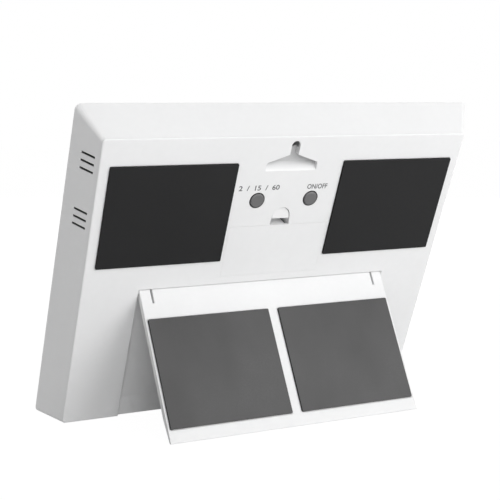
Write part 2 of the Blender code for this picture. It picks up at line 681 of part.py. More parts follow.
def recess_profile():
    """Side view of the recess: flat floor, then a rise under the stand's thin toe."""
    toe_z = STAND_PIVOT_Z - STAND_REACH - FIT
    taper_z = STAND_PIVOT_Z - STAND_REACH + TOE_TAPER
    toe_y = PIVOT_Y + STAND_THICKNESS / 2 - TOE_THICKNESS - FIT
    top_z = STAND_PIVOT_Z + STAND_THICKNESS / 2 + FIT
    slope = (toe_y - RECESS_Y) / (taper_z - toe_z)
    return [
        (PAST, top_z), (RECESS_Y, top_z), (RECESS_Y, taper_z),
        (toe_y, toe_z), (toe_y + slope * PAST, toe_z - PAST), (PAST, toe_z - PAST),
    ]


def recess_mouth(half, wider):
    """The recess's outline, widened all round but open past the bottom edge."""
    bottom = -SHELL_DEPTH
    top = RECESS_TOP_Z + wider
    return [(-half - wider, bottom), (half + wider, bottom), (half + wider, top), (-half - wider, top)]


def cut_stand_recess(timer, case):
    half = STAND_WIDTH / 2 + FIT
    timer.cut(case, prism(recess_profile(), -half, half, axis="x"), "stand_recess")
    flare = RECESS_CHAMFER + PAST
    slope = loft([
        (-RECESS_CHAMFER, recess_mouth(half, 0.0)),
        (PAST, recess_mouth(half, flare)),
    ])
    timer.cut(case, slope, "recess_edge")
    pin_end = half + PIN_LENGTH + FIT
    sockets = [
        rod(PIN_RADIUS + PIN_PLAY, start, end, (PIVOT_Y, STAND_PIVOT_Z), axis="x", segments=16)
        for start, end in ((-pin_end, -half + EMBED), (half - EMBED, pin_end))
    ]
    timer.cut(case, joined(sockets), "pin_sockets")


def cut_battery_bay(timer, case):
    bay = box(-BAY_HALF_LENGTH, BAY_HALF_LENGTH, BAY_INNER_Y, -BACK_WALL, BAY_BOTTOM_Z, BAY_TOP_Z)
    timer.cut(case, bay, "bay")
    mouth = box(-COVER_HALF_OPENING, COVER_HALF_OPENING, -BACK_WALL - PAST, PAST, BAY_BOTTOM_Z, BAY_TOP_Z)
    timer.cut(case, mouth, "bay_mouth")
    seat_y = -COVER_THICKNESS - FIT
    seat = box(-COVER_HALF_OPENING, COVER_HALF_OPENING, seat_y, PAST, OPENING_BOTTOM_Z, OPENING_TOP_Z)
    timer.cut(case, seat, "cover_seat")
    notch = latch_outline(0.0, BAY_TOP_Z - PAST)
    timer.cut(case, prism(notch, -LATCH_NOTCH_DEPTH, PAST), "latch_notch")
    slot_start = BAY_INNER_Y + FIT
    slots = [
        box(
            BAY_HALF_LENGTH - PAST, BAY_HALF_LENGTH + BAY_END_WALL + PAST,
            slot_start, slot_start + CONTACT_THICKNESS + 2 * FIT,
            height - TAIL_WIDTH / 2 - FIT, height + TAIL_WIDTH / 2 + FIT)
        for height in (CELL_LOW_Z, CELL_HIGH_Z)
    ]
    timer.cut(case, joined(slots), "tail_slots")


def cut_hanger(timer, case):
    """Funnel with a ramp along its bottom, and the deep hole for the nail at the top of its neck."""
    funnel = prism(hanger_outline(), -HANGER_DEPTH, PAST)
    funnel = sliced(funnel, (0.0, 0.0, HANGER_BOTTOM_Z), (0.0, -HANGER_RAMP, -HANGER_DEPTH))
    timer.cut(case, funnel, "hanger_funnel")
    nail_hole = rod(
        NAIL_HOLE_RADIUS, -NAIL_HOLE_DEPTH, -HANGER_DEPTH + EMBED,
        (0.0, HANGER_TOP_Z - HANGER_NECK_RADIUS), segments=16)
    timer.cut(case, nail_hole, "nail_hole")


def cut_small_openings(timer, case):
    holes = [
        rod(BUTTON_RADIUS + BUTTON_GAP, -BACK_WALL - PAST, PAST, (x, BUTTON_Z), segments=28)
        for x in (ALARM_BUTTON_X, SOUND_BUTTON_X)
    ]
    timer.cut(case, joined(holes), "button_holes")
    outer = RIM_WIDTH / 2 + PAST
    inner = REAR_WIDTH / 2 - SIDE_WALL - PAST
    vents = [
        box(
            inner, outer, -VENT_FAR, -VENT_NEAR,
            REAR_HEIGHT - drop - VENT_HEIGHT / 2, REAR_HEIGHT - drop + VENT_HEIGHT / 2)
        for drop in VENT_DROPS
    ]
    timer.cut(case, joined(vents), "sound_slots")
    pocket = rounded_rectangle(
        BACK_MAGNET_WIDTH / 2 + FIT, -BACK_MAGNET_HEIGHT / 2 - FIT, BACK_MAGNET_HEIGHT / 2 + FIT,
        MAGNET_CORNER + FIT, 2)
    pockets = [
        prism(shifted(pocket, side * BACK_MAGNET_X, BACK_MAGNET_Z), -MAGNET_POCKET, PAST) for side in (-1, 1)
    ]
    timer.cut(case, joined(pockets), "magnet_pockets")
    wells = [rod(SCREW_HEAD_RADIUS + FIT, SCREW_SEAT_Y - FIT, PAST, place) for place in screw_places()]
    timer.cut(case, joined(wells), "screw_wells")
    shanks = [
        rod(SCREW_RADIUS + FIT, BOSS_END_Y - PAST, SCREW_SEAT_Y + EMBED, place, segments=14)
        for place in screw_places()
    ]
    timer.cut(case, joined(shanks), "screw_holes")
    place = (PIEZO_X, PIEZO_Z)
    ring_end = -BACK_WALL - PIEZO_RING_HEIGHT - PAST
    chamber = rod(PIEZO_RADIUS - PIEZO_LEDGE, ring_end, -BACK_WALL, place, segments=32)
    timer.cut(case, chamber, "sound_chamber")
    seat = rod(PIEZO_RADIUS + FIT, ring_end, -BACK_WALL - PIEZO_CHAMBER, place, segments=32)
    timer.cut(case, seat, "sounder_seat")


# Front case

def bezel_sections():
    """The bezel curves from the rim to the front face on an arc between two slopes."""
    start = math.radians(FRONT_START_ANGLE)
    end = math.radians(FRONT_END_ANGLE)
    arc = FRONT_DEPTH / (math.sin(end) - math.sin(start))
    sections = []
    for step in range(FRONT_STEPS + 1):
        angle = mix(start, end, step / FRONT_STEPS)
        forward = arc * (math.sin(angle) - math.sin(start))
        inset = FRONT_SET_IN + arc * (math.cos(start) - math.cos(angle))
        radius = mix(RIM_CORNER, FRONT_CORNER, step / FRONT_STEPS)
        sections.append((SEAM_Y - forward, rim_section(inset, radius)))
    return sections


def bezel_inset():
    """How far the front face's edge lies inside the rim."""
    start = math.radians(FRONT_START_ANGLE)
    end = math.radians(FRONT_END_ANGLE)
    return FRONT_DEPTH / (math.sin(end) - math.sin(start)) * (math.cos(start) - math.cos(end))


def add_front_case(timer):
    case = timer.add("front_case", loft(list(reversed(bezel_sections()))), "case")
    tongue_outer = FRONT_SIDE_WALL - TONGUE_THICKNESS
    tongue_end = SEAM_Y + FIT + TONGUE_HEIGHT
    tongue = loft([
        (SEAM_Y - EMBED, rim_section(tongue_outer, RIM_CORNER / 2)),
        (tongue_end, rim_section(tongue_outer, RIM_CORNER / 2)),
    ])
    timer.fuse(case, tongue, "tongue")
    inner_radius = RIM_CORNER / 2 - TONGUE_THICKNESS
    hollow = loft([
        (FRONT_INNER_Y, rim_section(FRONT_SIDE_WALL + bezel_inset() / 2, inner_radius)),
        (SEAM_Y, rim_section(FRONT_SIDE_WALL, inner_radius)),
        (tongue_end + PAST, rim_section(FRONT_SIDE_WALL, inner_radius)),
    ])
    timer.cut(case, hollow, "hollow")
    root_y = FRONT_INNER_Y - EMBED
    posts = [rod(SCREW_POST_RADIUS, root_y, BOSS_END_Y - FIT, place) for place in screw_places()]
    timer.fuse(case, joined(posts), "screw_posts")
    board_posts = [
        rod(BOARD_POST_RADIUS, root_y, BOARD_FRONT_Y - FIT, place, segments=14)
        for place in board_screw_places()
    ]
    timer.fuse(case, joined(board_posts), "board_posts")
    pilots = [
        rod(SCREW_RADIUS + FIT, FRONT_INNER_Y, BOSS_END_Y + PAST, place, segments=14)
        for place in screw_places()
    ]
    pilots += [
        rod(BOARD_SCREW_RADIUS + FIT, FRONT_INNER_Y - EMBED, BOARD_FRONT_Y, place, segments=12)
        for place in board_screw_places()
    ]
    timer.cut(case, joined(pilots), "screw_pilots")
    window = rounded_rectangle(WINDOW_WIDTH / 2, -WINDOW_HEIGHT / 2, WINDOW_HEIGHT / 2, WINDOW_CORNER)
    window = shifted(window, 0.0, WINDOW_CENTRE_Z)
    timer.cut(case, prism(window, FRONT_Y - PAST, FRONT_INNER_Y + PAST), "window")
    rebate = lens_outline(FIT)
    timer.cut(case, prism(rebate, FRONT_Y - PAST, FRONT_Y + LENS_THICKNESS + FIT), "lens_rebate")
    holes = [
        prism(key_outline(x, width, FIT), FRONT_Y - PAST, FRONT_INNER_Y + PAST)
        for _, x, width in key_places()
    ]
    timer.cut(case, joined(holes), "key_holes")


def lens_outline(gap):
    half_width = WINDOW_WIDTH / 2 + LENS_LAP + gap
    half_height = WINDOW_HEIGHT / 2 + LENS_LAP + gap
    outline = rounded_rectangle(half_width, -half_height, half_height, WINDOW_CORNER + LENS_LAP / 2 + gap)
    return shifted(outline, 0.0, WINDOW_CENTRE_Z)


def key_places():
    """Each key's name, middle and width."""
    start = -KEY_ROW_WIDTH / 2
    places = []
    for name, gap in (("minute_key", KEY_GAP), ("second_key", KEY_GROUP_GAP), ("reset_key", KEY_GROUP_GAP)):
        places.append((name, start + KEY_WIDTH / 2, KEY_WIDTH))
        start += KEY_WIDTH + gap
    width = KEY_ROW_WIDTH / 2 - start
    places.append(("start_stop_key", start + width / 2, width))
    return places


def key_outline(x, width, gap, steps=4):
    outline = rounded_rectangle(
        width / 2 + gap, -KEY_HEIGHT / 2 - gap, KEY_HEIGHT / 2 + gap, KEY_CORNER + gap, steps)
    return shifted(outline, x, KEY_ROW_Z)


# Display

def add_display(timer):
    lens = prism(lens_outline(0.0), FRONT_Y, FRONT_Y + LENS_THICKNESS)
    timer.add("display_lens", lens, "lens", (0.0, FRONT_Y, WINDOW_CENTRE_Z))
    half = WINDOW_WIDTH / 2 + GLASS_LAP
    rear_half = WINDOW_HEIGHT / 2 + GLASS_LAP
    front_half = rear_half + CONTACT_LEDGE
    middle = WINDOW_CENTRE_Z
    front = box(-half, half, GLASS_FRONT_Y, GLASS_LEDGE_Y, middle - front_half, middle + front_half)
    panel = timer.add("lcd_panel", front, "glass")
    rear = box(
        -half + FIT, half - FIT, GLASS_LEDGE_Y - EMBED / 2, GLASS_BACK_Y,
        middle - rear_half, middle + rear_half)
    timer.fuse(panel, rear, "rear_glass")
    strip_half = half - ZEBRA_INSET
    for name, side in (("zebra_strip_upper", 1), ("zebra_strip_lower", -1)):
        edge = middle + side * (rear_half + FIT)
        far = edge + side * ZEBRA_HEIGHT
        strip = box(
            -strip_half, strip_half, ZEBRA_FRONT_Y, ZEBRA_FRONT_Y + ZEBRA_THICKNESS,
            min(edge, far), max(edge, far))
        timer.add(name, strip, "zebra")
    inner = front_half + FIT
    outer = inner + HOLDER_WALL
    holder = timer.add("lcd_holder", prism(
        shifted(rounded_rectangle(half + FIT + HOLDER_WALL, -outer, outer, WINDOW_CORNER, 2), 0.0, middle),
        GLASS_FRONT_Y, BOARD_FRONT_Y - FIT), "holder")
    hole = box(-half - FIT, half + FIT, FRONT_INNER_Y, BOARD_FRONT_Y, middle - inner, middle + inner)
    timer.cut(holder, hole, "glass_opening")


# Circuit board

def add_board(timer):
    outline = rounded_rectangle(BOARD_WIDTH / 2, BOARD_BOTTOM_Z, BOARD_TOP_Z, BOARD_CORNER, 2)
    board = timer.add("main_circuit_board", prism(outline, BOARD_FRONT_Y, BOARD_BACK_Y), "board")
    holes = [
        rod(SCREW_POST_RADIUS + FIT, BOARD_FRONT_Y - PAST, BOARD_BACK_Y + PAST, place)
        for place in screw_places() if abs(place[0]) < BOARD_WIDTH / 2
    ]
    holes += [
        rod(BOARD_SCREW_RADIUS + FIT, BOARD_FRONT_Y - PAST, BOARD_BACK_Y + PAST, place, segments=12)
        for place in board_screw_places()
    ]
    timer.cut(board, joined(holes), "board_holes")
    head_y = BOARD_BACK_Y + FIT
    add_screws(
        timer, "board_screw", board_screw_places(), head_y,
        (BOARD_SCREW_HEAD_RADIUS, BOARD_SCREW_HEAD, BOARD_SCREW_RADIUS, BOARD_SCREW_LENGTH))
    blob = [(0.0, 0.0)]
    for step in range(CHIP_STEPS + 1):
        angle = math.pi / 2 * step / CHIP_STEPS
        blob.append((CHIP_RADIUS * math.cos(angle), CHIP_HEIGHT * math.sin(angle)))
    chip = moved(turned(blob), CHIP_X, head_y, CHIP_Z)
    timer.add("control_chip", chip, "epoxy", (CHIP_X, head_y, CHIP_Z))
    crystal_y = head_y + CRYSTAL_RADIUS
    crystal = rod(
        CRYSTAL_RADIUS, CRYSTAL_X - CRYSTAL_LENGTH / 2, CRYSTAL_X + CRYSTAL_LENGTH / 2,
        (crystal_y, CRYSTAL_Z), axis="x", segments=14)
    timer.add("quartz_crystal", crystal, "nickel", (CRYSTAL_X, crystal_y, CRYSTAL_Z))
    can = rod(
        CAPACITOR_RADIUS, head_y, head_y + CAPACITOR_HEIGHT, (CAPACITOR_X, CAPACITOR_Z), segments=18)
    timer.add("capacitor", can, "epoxy", (CAPACITOR_X, head_y, CAPACITOR_Z))


def screw_mesh(head_radius, head, radius, length):
    """A pan head that faces out of the back, on a shank that runs towards the front."""
    profile = [
        (0.0, -length), (radius * 0.5, -length), (radius, -length + radius),
        (radius, 0.0), (head_radius, 0.0), (head_radius, head * 0.6),
        (head_radius * 0.8, head), (0.0, head),
    ]
    return turned(profile, 16)


def cross_outline(reach):
    """The cross recess of a screw's head."""
    half = CROSS_WIDTH / 2
    corner = [(reach, -half), (reach, half), (half, half)]
    points = []
    for turn in range(4):
        quarter = Matrix.Rotation(math.radians(90 * turn), 2)
        points += [tuple(quarter @ Vector(point)) for point in corner]
    return points


def add_screws(timer, name, places, seat_y, sizes):
    mesh = screw_mesh(*sizes)
    head = sizes[1]
    radius = sizes[2]
    cross = prism(cross_outline(radius), head - CROSS_DEPTH, head + PAST)
    for number, (x, z) in enumerate(places, 1):
        screw = timer.place(f"{name}_{number}", mesh, "screw", (x, seat_y, z))
        timer.cut(screw, cross, "cross_recess", local=True)


def add_case_screws(timer):
    add_screws(
        timer, "case_screw", screw_places(), SCREW_SEAT_Y,
        (SCREW_HEAD_RADIUS, SCREW_HEAD, SCREW_RADIUS, SCREW_LENGTH))


# Keys and buttons

def add_front_keys(timer):
    for name, x, width in key_places():
        top_y = FRONT_Y - KEY_PROUD
        edge = [
            (top_y, key_outline(x, width, -KEY_EDGE)),
            (top_y + KEY_EDGE, key_outline(x, width, 0.0)),
            (KEY_FLANGE_Y + EMBED / 2, key_outline(x, width, 0.0)),
        ]
        key = timer.add(name, loft(edge), "key", (x, FRONT_Y, KEY_ROW_Z))
        flange = prism(key_outline(x, width, KEY_FLANGE), KEY_FLANGE_Y, KEY_FLANGE_Y + KEY_FLANGE_THICKNESS)
        timer.fuse(key, flange, "flange")
        stem_end = BOARD_FRONT_Y - KEY_TRAVEL - PIN_PLAY
        stem = rod(KEY_STEM_RADIUS, KEY_FLANGE_Y + EMBED / 2, stem_end, (x, KEY_ROW_Z), segments=16)
        timer.fuse(key, stem, "stem")
    tall = KEY_HEIGHT / 2 + MEMBRANE_MARGIN
    outline = rounded_rectangle(KEY_ROW_WIDTH / 2 + MEMBRANE_MARGIN, -tall, tall, KEY_CORNER, 3)
    sheet = prism(
        shifted(outline, 0.0, KEY_ROW_Z), MEMBRANE_FRONT_Y, MEMBRANE_FRONT_Y + MEMBRANE_THICKNESS)
    membrane = timer.add("keypad_membrane", sheet, "rubber")
    wells = [
        rod(KEY_STEM_RADIUS + FIT, MEMBRANE_FRONT_Y - PAST, BOARD_FRONT_Y, (x, KEY_ROW_Z), segments=16)
        for _, x, _ in key_places()
    ]
    timer.cut(membrane, joined(wells), "stem_wells")


def add_back_buttons(timer):
    for button, switch, x in (
            ("alarm_length_button", "alarm_length_switch", ALARM_BUTTON_X),
            ("sound_button", "sound_switch", SOUND_BUTTON_X)):
        flange_y = -BACK_WALL - FIT
        stem_end = SWITCH_TOP_Y + BUTTON_TRAVEL + PIN_PLAY
        profile = [
            (0.0, stem_end), (BUTTON_STEM_RADIUS, stem_end),
            (BUTTON_STEM_RADIUS, flange_y - BUTTON_FLANGE_THICKNESS),
            (BUTTON_FLANGE_RADIUS, flange_y - BUTTON_FLANGE_THICKNESS),
            (BUTTON_FLANGE_RADIUS, flange_y), (BUTTON_RADIUS, flange_y),
            (BUTTON_RADIUS, BUTTON_PROUD - BUTTON_EDGE), (BUTTON_RADIUS - BUTTON_EDGE, BUTTON_PROUD),
            (0.0, BUTTON_PROUD),
        ]
        cap = moved(turned(profile, 28), x, 0.0, BUTTON_Z)
        timer.add(button, cap, "button", (x, 0.0, BUTTON_Z))
        base_y = BOARD_BACK_Y + FIT
        half = SWITCH_SIZE / 2
        body = box(x - half, x + half, base_y, base_y + SWITCH_HEIGHT, BUTTON_Z - half, BUTTON_Z + half)
        body = timer.add(switch, body, "switch", (x, base_y, BUTTON_Z))
        plunger = rod(
            PLUNGER_RADIUS, base_y + SWITCH_HEIGHT - EMBED, SWITCH_TOP_Y, (x, BUTTON_Z), segments=16)
        timer.fuse(body, plunger, "plunger")


# Sounder

def add_sounder(timer):
    place = (PIEZO_X, PIEZO_Z)
    disc_top = -BACK_WALL - PIEZO_CHAMBER - FIT
    disc_bottom = disc_top - PIEZO_THICKNESS
    disc = timer.add("piezo_disc", rod(PIEZO_RADIUS, disc_bottom, disc_top, place, segments=32), "brass")
    ceramic = rod(
        CERAMIC_RADIUS, disc_bottom - CERAMIC_THICKNESS, disc_bottom + PIEZO_THICKNESS / 2, place,
        segments=28)
    timer.fuse(disc, ceramic, "ceramic")
    start_y = disc_bottom - CERAMIC_THICKNESS - FIT - WIRE_RADIUS
    end_y = BOARD_BACK_Y + FIT + WIRE_RADIUS
    for name, colour, side in (("sounder_wire_red", "red", 1), ("sounder_wire_black", "black", -1)):
        offset = side * SOUNDER_WIRE_OFFSET
        start = Vector((PIEZO_X + offset, start_y, PIEZO_Z))
        end = Vector((PIEZO_X + offset - SOUNDER_WIRE_REACH, end_y, PIEZO_Z + offset))
        timer.add(name, tube(wire_route(start, end), WIRE_RADIUS), colour)


def wire_route(start, end):
    """A slack S between two solder joints, level at both ends."""
    points = []
    for step in range(WIRE_POINTS):
        share = step / (WIRE_POINTS - 1)
        ease = share * share * (3 - 2 * share)
        across = mix(start.x, end.x, share)
        points.append((across, mix(start.y, end.y, ease), mix(start.z, end.z, share)))
    return points


# Battery bay

def add_batteries(timer):
    end_x = BAY_HALF_LENGTH - FIT - CONTACT_THICKNESS
    body_end = CELL_LENGTH - CELL_NUB_LENGTH
    pole = CELL_RADIUS * CELL_POLE_SHARE
    profile = [
        (0.0, 0.0), (pole, 0.0), (pole + CELL_BASE_RECESS, CELL_BASE_RECESS),
        (CELL_RADIUS - CELL_BASE_RECESS, CELL_BASE_RECESS), (CELL_RADIUS, CELL_BASE_EDGE),
        (CELL_RADIUS, body_end - CELL_SHOULDER), (CELL_RADIUS - CELL_SHOULDER, body_end),
        (CELL_NUB_RADIUS, body_end), (CELL_NUB_RADIUS, CELL_LENGTH), (0.0, CELL_LENGTH),
    ]
    for name, height, facing in (("battery_upper", CELL_HIGH_Z, 1), ("battery_lower", CELL_LOW_Z, -1)):
        cell = turned(profile, 24)
        cell.transform(Matrix.Rotation(math.radians(-90 * facing), 4, "Z"))
        flat_end = facing * (end_x - FIT - CELL_LENGTH)
        timer.add(name, moved(cell, flat_end, CELL_Y, height), "sleeve", (flat_end, CELL_Y, height))


def add_contacts(timer):
    inner = BAY_HALF_LENGTH - FIT - CONTACT_THICKNESS
    outer = BAY_HALF_LENGTH - FIT
    half = CONTACT_WIDTH / 2
    near = CELL_Y + half
    far = BAY_INNER_Y + FIT
    bridge = box(-outer, -inner, far, near, CELL_LOW_Z - half, CELL_HIGH_Z + half)
    timer.add("bridge_contact", bridge, "nickel")
    tail_y = far + FIT
    tail_end = BAY_HALF_LENGTH + BAY_END_WALL + TAIL_LENGTH
    wires = (("positive_contact", "battery_wire_red", "red", CELL_HIGH_Z),
             ("negative_contact", "battery_wire_black", "black", CELL_LOW_Z))
    for name, wire, colour, height in wires:
        plate = box(inner, outer, far, near, height - half, height + half)
        contact = timer.add(name, plate, "nickel")
        tail = box(
            (inner + outer) / 2, tail_end, tail_y, tail_y + CONTACT_THICKNESS,
            height - TAIL_WIDTH / 2, height + TAIL_WIDTH / 2)
        timer.fuse(contact, tail, "tail")
        start = Vector((tail_end - WIRE_RADIUS, tail_y + CONTACT_THICKNESS + FIT + WIRE_RADIUS, height))
        end = Vector((
            tail_end + BATTERY_WIRE_REACH, BOARD_BACK_Y + FIT + WIRE_RADIUS, height + BATTERY_WIRE_RISE))
        timer.add(wire, tube(wire_route(start, end), WIRE_RADIUS), colour)
    springs = (("contact_spring_upper", 1, CELL_HIGH_Z), ("contact_spring_lower", -1, CELL_LOW_Z))
    for name, facing, height in springs:
        spring = tube(spring_points(), SPRING_WIRE_RADIUS, resolution=1)
        if facing < 0:
            spring.transform(Matrix.Rotation(math.pi, 4, "Z"))
        place = (-facing * inner, CELL_Y, height)
        timer.add(name, moved(spring, *place), "nickel", place)


def spring_points():
    """A conical coil along +X from the contact plate to the cell's flat end."""
    length = SPRING_LENGTH - FIT - 2 * SPRING_WIRE_RADIUS
    count = SPRING_TURNS * SPRING_POINTS_PER_TURN
    points = []
    for step in range(count + 1):
        share = step / count
        angle = math.tau * SPRING_TURNS * share
        radius = mix(SPRING_BASE_RADIUS, SPRING_TIP_RADIUS, share)
        points.append((
            FIT + SPRING_WIRE_RADIUS + length * share - FIT * share,
            radius * math.cos(angle), radius * math.sin(angle)))
    return points


def add_cover(timer):
    """Snap-in cover; its U-shaped latch ends in the finger tab that shows in the notch."""
    half = COVER_HALF_OPENING - FIT
    bottom = OPENING_BOTTOM_Z + FIT
    plate = box(-half, half, -COVER_THICKNESS, 0.0, bottom, COVER_TOP_Z)
    cover = timer.add("battery_cover", plate, "case", (0.0, 0.0, OPENING_BOTTOM_Z))
    rib_y = -COVER_THICKNESS - COVER_RIB_HEIGHT
    between = (CELL_LOW_Z + CELL_HIGH_Z) / 2
    rib_half = half - COVER_RIB_END
    rib = box(
        -rib_half, rib_half, rib_y, -COVER_THICKNESS + EMBED / 2,
        between - COVER_RIB_WIDTH / 2, between + COVER_RIB_WIDTH / 2)
    timer.fuse(cover, rib, "stiffening_rib")
    leg_half = LATCH_ARCH_RADIUS - 2 * FIT
    far_z = COVER_TOP_Z + LATCH_GAP
    tab_y = -LATCH_TAB_SINK
    near_z = COVER_TOP_Z - LATCH_SET_BACK
    bend_y = -LATCH_DROP + LATCH_LEG
    tab_root = tab_y - LATCH_TAB_THICKNESS / 2
    profile = [
        (-EMBED / 2, near_z - LATCH_LEG), (bend_y, near_z - LATCH_LEG),
        (-LATCH_DROP, near_z + LATCH_LEG / 2), (-LATCH_DROP, far_z - LATCH_LEG / 2),
        (bend_y, far_z + LATCH_LEG), (tab_root, far_z + LATCH_LEG),
        (tab_root, far_z), (bend_y, far_z),
        (bend_y, near_z), (-EMBED / 2, near_z),
    ]
    timer.fuse(cover, prism(profile, -leg_half, leg_half, axis="x"), "latch_spring")
    tab = prism(latch_outline(FIT, far_z), tab_y - LATCH_TAB_THICKNESS, tab_y)
    rise = OPENING_TOP_Z + LATCH_NOTCH_HEIGHT - far_z
    slope = Matrix.Identity(4)
    slope[1][2] = -LATCH_TAB_SLOPE / rise
    slope[1][3] = LATCH_TAB_SLOPE / rise * far_z
    tab.transform(slope)
    timer.fuse(cover, tab, "finger_tab")


# Stand and magnets

def stand_lean():
    """How far the case leans back when its bottom edge and the stand's foot touch one floor.

    The case touches with its back fillet, a circle; the foot with the middle of its end.
    """
    open_angle = math.radians(STAND_OPEN_ANGLE)
    foot_y = PIVOT_Y + STAND_REACH * math.sin(open_angle)
    foot_z = STAND_PIVOT_Z - STAND_REACH * math.cos(open_angle)
    circle_z = REAR_FILLET * (1 - RIM_DROP / SHELL_DEPTH)
    across = foot_y + REAR_FILLET
    down = circle_z - foot_z
    return math.atan2(across, down) - math.acos(REAR_FILLET / math.hypot(across, down))


def stand_profile():
    """Side view round the pivot, folded flat: round nose, plate and thin toe, level when open."""
    half = STAND_THICKNESS / 2
    tilt = math.tan(math.radians(STAND_OPEN_ANGLE) - stand_lean())
    inner_toe = half - TOE_THICKNESS
    return half_circle(half, 0.0) + [
        (-half, -STAND_REACH + TOE_TAPER),
        (inner_toe, -STAND_REACH - inner_toe * tilt),
        (half, -STAND_REACH - half * tilt),
    ]


def ear_corner(side):
    """What is taken off one end of the nose to round it, seen from the back."""
    edge = STAND_WIDTH / 2
    top = STAND_THICKNESS / 2
    points = [(side * (edge + PAST), top - EAR_CORNER), (side * (edge + PAST), top + PAST)]
    points.append((side * (edge - EAR_CORNER), top + PAST))
    for step in range(5):
        angle = math.pi / 2 * (1 - step / 4)
        across = edge - EAR_CORNER * (1 - math.cos(angle))
        points.append((side * across, top - EAR_CORNER * (1 - math.sin(angle))))
    return points


def add_stand(timer):
    half = STAND_WIDTH / 2
    stand = timer.add("stand", prism(stand_profile(), -half, half, axis="x"), "case")
    stand.location = (0.0, PIVOT_Y, STAND_PIVOT_Z)
    stand.rotation_euler = (math.radians(STAND_OPEN_ANGLE), 0.0, 0.0)
    corners = [prism(ear_corner(side), -STAND_THICKNESS, STAND_THICKNESS) for side in (-1, 1)]
    timer.cut(stand, joined(corners), "ear_corners", local=True)
    pins = joined([
        rod(PIN_RADIUS, -half - PIN_LENGTH, -half + EMBED, (0.0, 0.0), axis="x", segments=16),
        rod(PIN_RADIUS, half - EMBED, half + PIN_LENGTH, (0.0, 0.0), axis="x", segments=16),
    ])
    timer.fuse(stand, pins, "pins", local=True)
    slit_x = half - SLIT_SIDE
    slits = [
        box(
            side * slit_x - SLIT_WIDTH / 2, side * slit_x + SLIT_WIDTH / 2,
            -STAND_THICKNESS, STAND_THICKNESS, STAND_THICKNESS / 2 - SLIT_LENGTH, STAND_THICKNESS)
        for side in (-1, 1)
    ]
    timer.cut(stand, joined(slits), "ear_slits", local=True)
    face_y = STAND_THICKNESS / 2
    outline = rounded_rectangle(
        STAND_MAGNET_WIDTH / 2, -STAND_MAGNET_HEIGHT / 2, STAND_MAGNET_HEIGHT / 2, MAGNET_CORNER, 2)
    pocket = rounded_rectangle(
        STAND_MAGNET_WIDTH / 2 + FIT, -STAND_MAGNET_HEIGHT / 2 - FIT, STAND_MAGNET_HEIGHT / 2 + FIT,
        MAGNET_CORNER + FIT, 2)
    pockets = [
        prism(
            shifted(pocket, side * STAND_MAGNET_X, -STAND_MAGNET_REACH),
            face_y - MAGNET_POCKET, face_y + PAST)
        for side in (-1, 1)
    ]
    timer.cut(stand, joined(pockets), "magnet_pockets", local=True)
    floor_y = face_y - MAGNET_POCKET + MAGNET_BED
    for name, side in (("stand_magnet_left", -1), ("stand_magnet_right", 1)):
        across = side * STAND_MAGNET_X
        sheet = prism(
            shifted(outline, across, -STAND_MAGNET_REACH), floor_y, floor_y + MAGNET_THICKNESS)
        timer.add(name, sheet, "magnet", (across, floor_y, -STAND_MAGNET_REACH), parent=stand)


def add_back_magnets(timer):
    outline = rounded_rectangle(
        BACK_MAGNET_WIDTH / 2, -BACK_MAGNET_HEIGHT / 2, BACK_MAGNET_HEIGHT / 2, MAGNET_CORNER, 2)
    floor_y = -MAGNET_POCKET + MAGNET_BED
    for name, side in (("back_magnet_left", -1), ("back_magnet_right", 1)):
        sheet = prism(
            shifted(outline, side * BACK_MAGNET_X, BACK_MAGNET_Z), floor_y, floor_y + MAGNET_THICKNESS)
        timer.add(name, sheet, "magnet", (side * BACK_MAGNET_X, floor_y, BACK_MAGNET_Z))


def settle(timer):
    """Lean the case back, then set it on the floor with the origin under the middle of its box."""
    timer.frame.rotation_euler = (-stand_lean(), 0.0, 0.0)
    bpy.context.view_layer.update()
    graph = bpy.context.evaluated_depsgraph_get()
    low = Vector((math.inf, math.inf, math.inf))
    high = -low
    for piece in timer.parts.objects:
        if piece.type != "MESH":
            continue
        solid = piece.evaluated_get(graph)
        for vert in solid.data.vertices:
            place = solid.matrix_world @ vert.co
            low = Vector(map(min, low, place))
            high = Vector(map(max, high, place))
    timer.frame.location = (-(low.x + high.x) / 2, -(low.y + high.y) / 2, -low.z)
    bpy.context.view_layer.update()


def main():
    clear_scene()
    timer = Timer()
    add_rear_case(timer)
    add_front_case(timer)
    add_display(timer)
    add_board(timer)
    add_case_screws(timer)
    add_front_keys(timer)
    add_back_buttons(timer)
    add_sounder(timer)
    add_batteries(timer)
    add_contacts(timer)
    add_cover(timer)
    add_back_magnets(timer)
    add_stand(timer)
    settle(timer)


main()
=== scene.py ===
"""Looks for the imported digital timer: materials, markings, display segments, light and camera."""
import json
import math

import bmesh
import bpy
from mathutils import Matrix, Vector


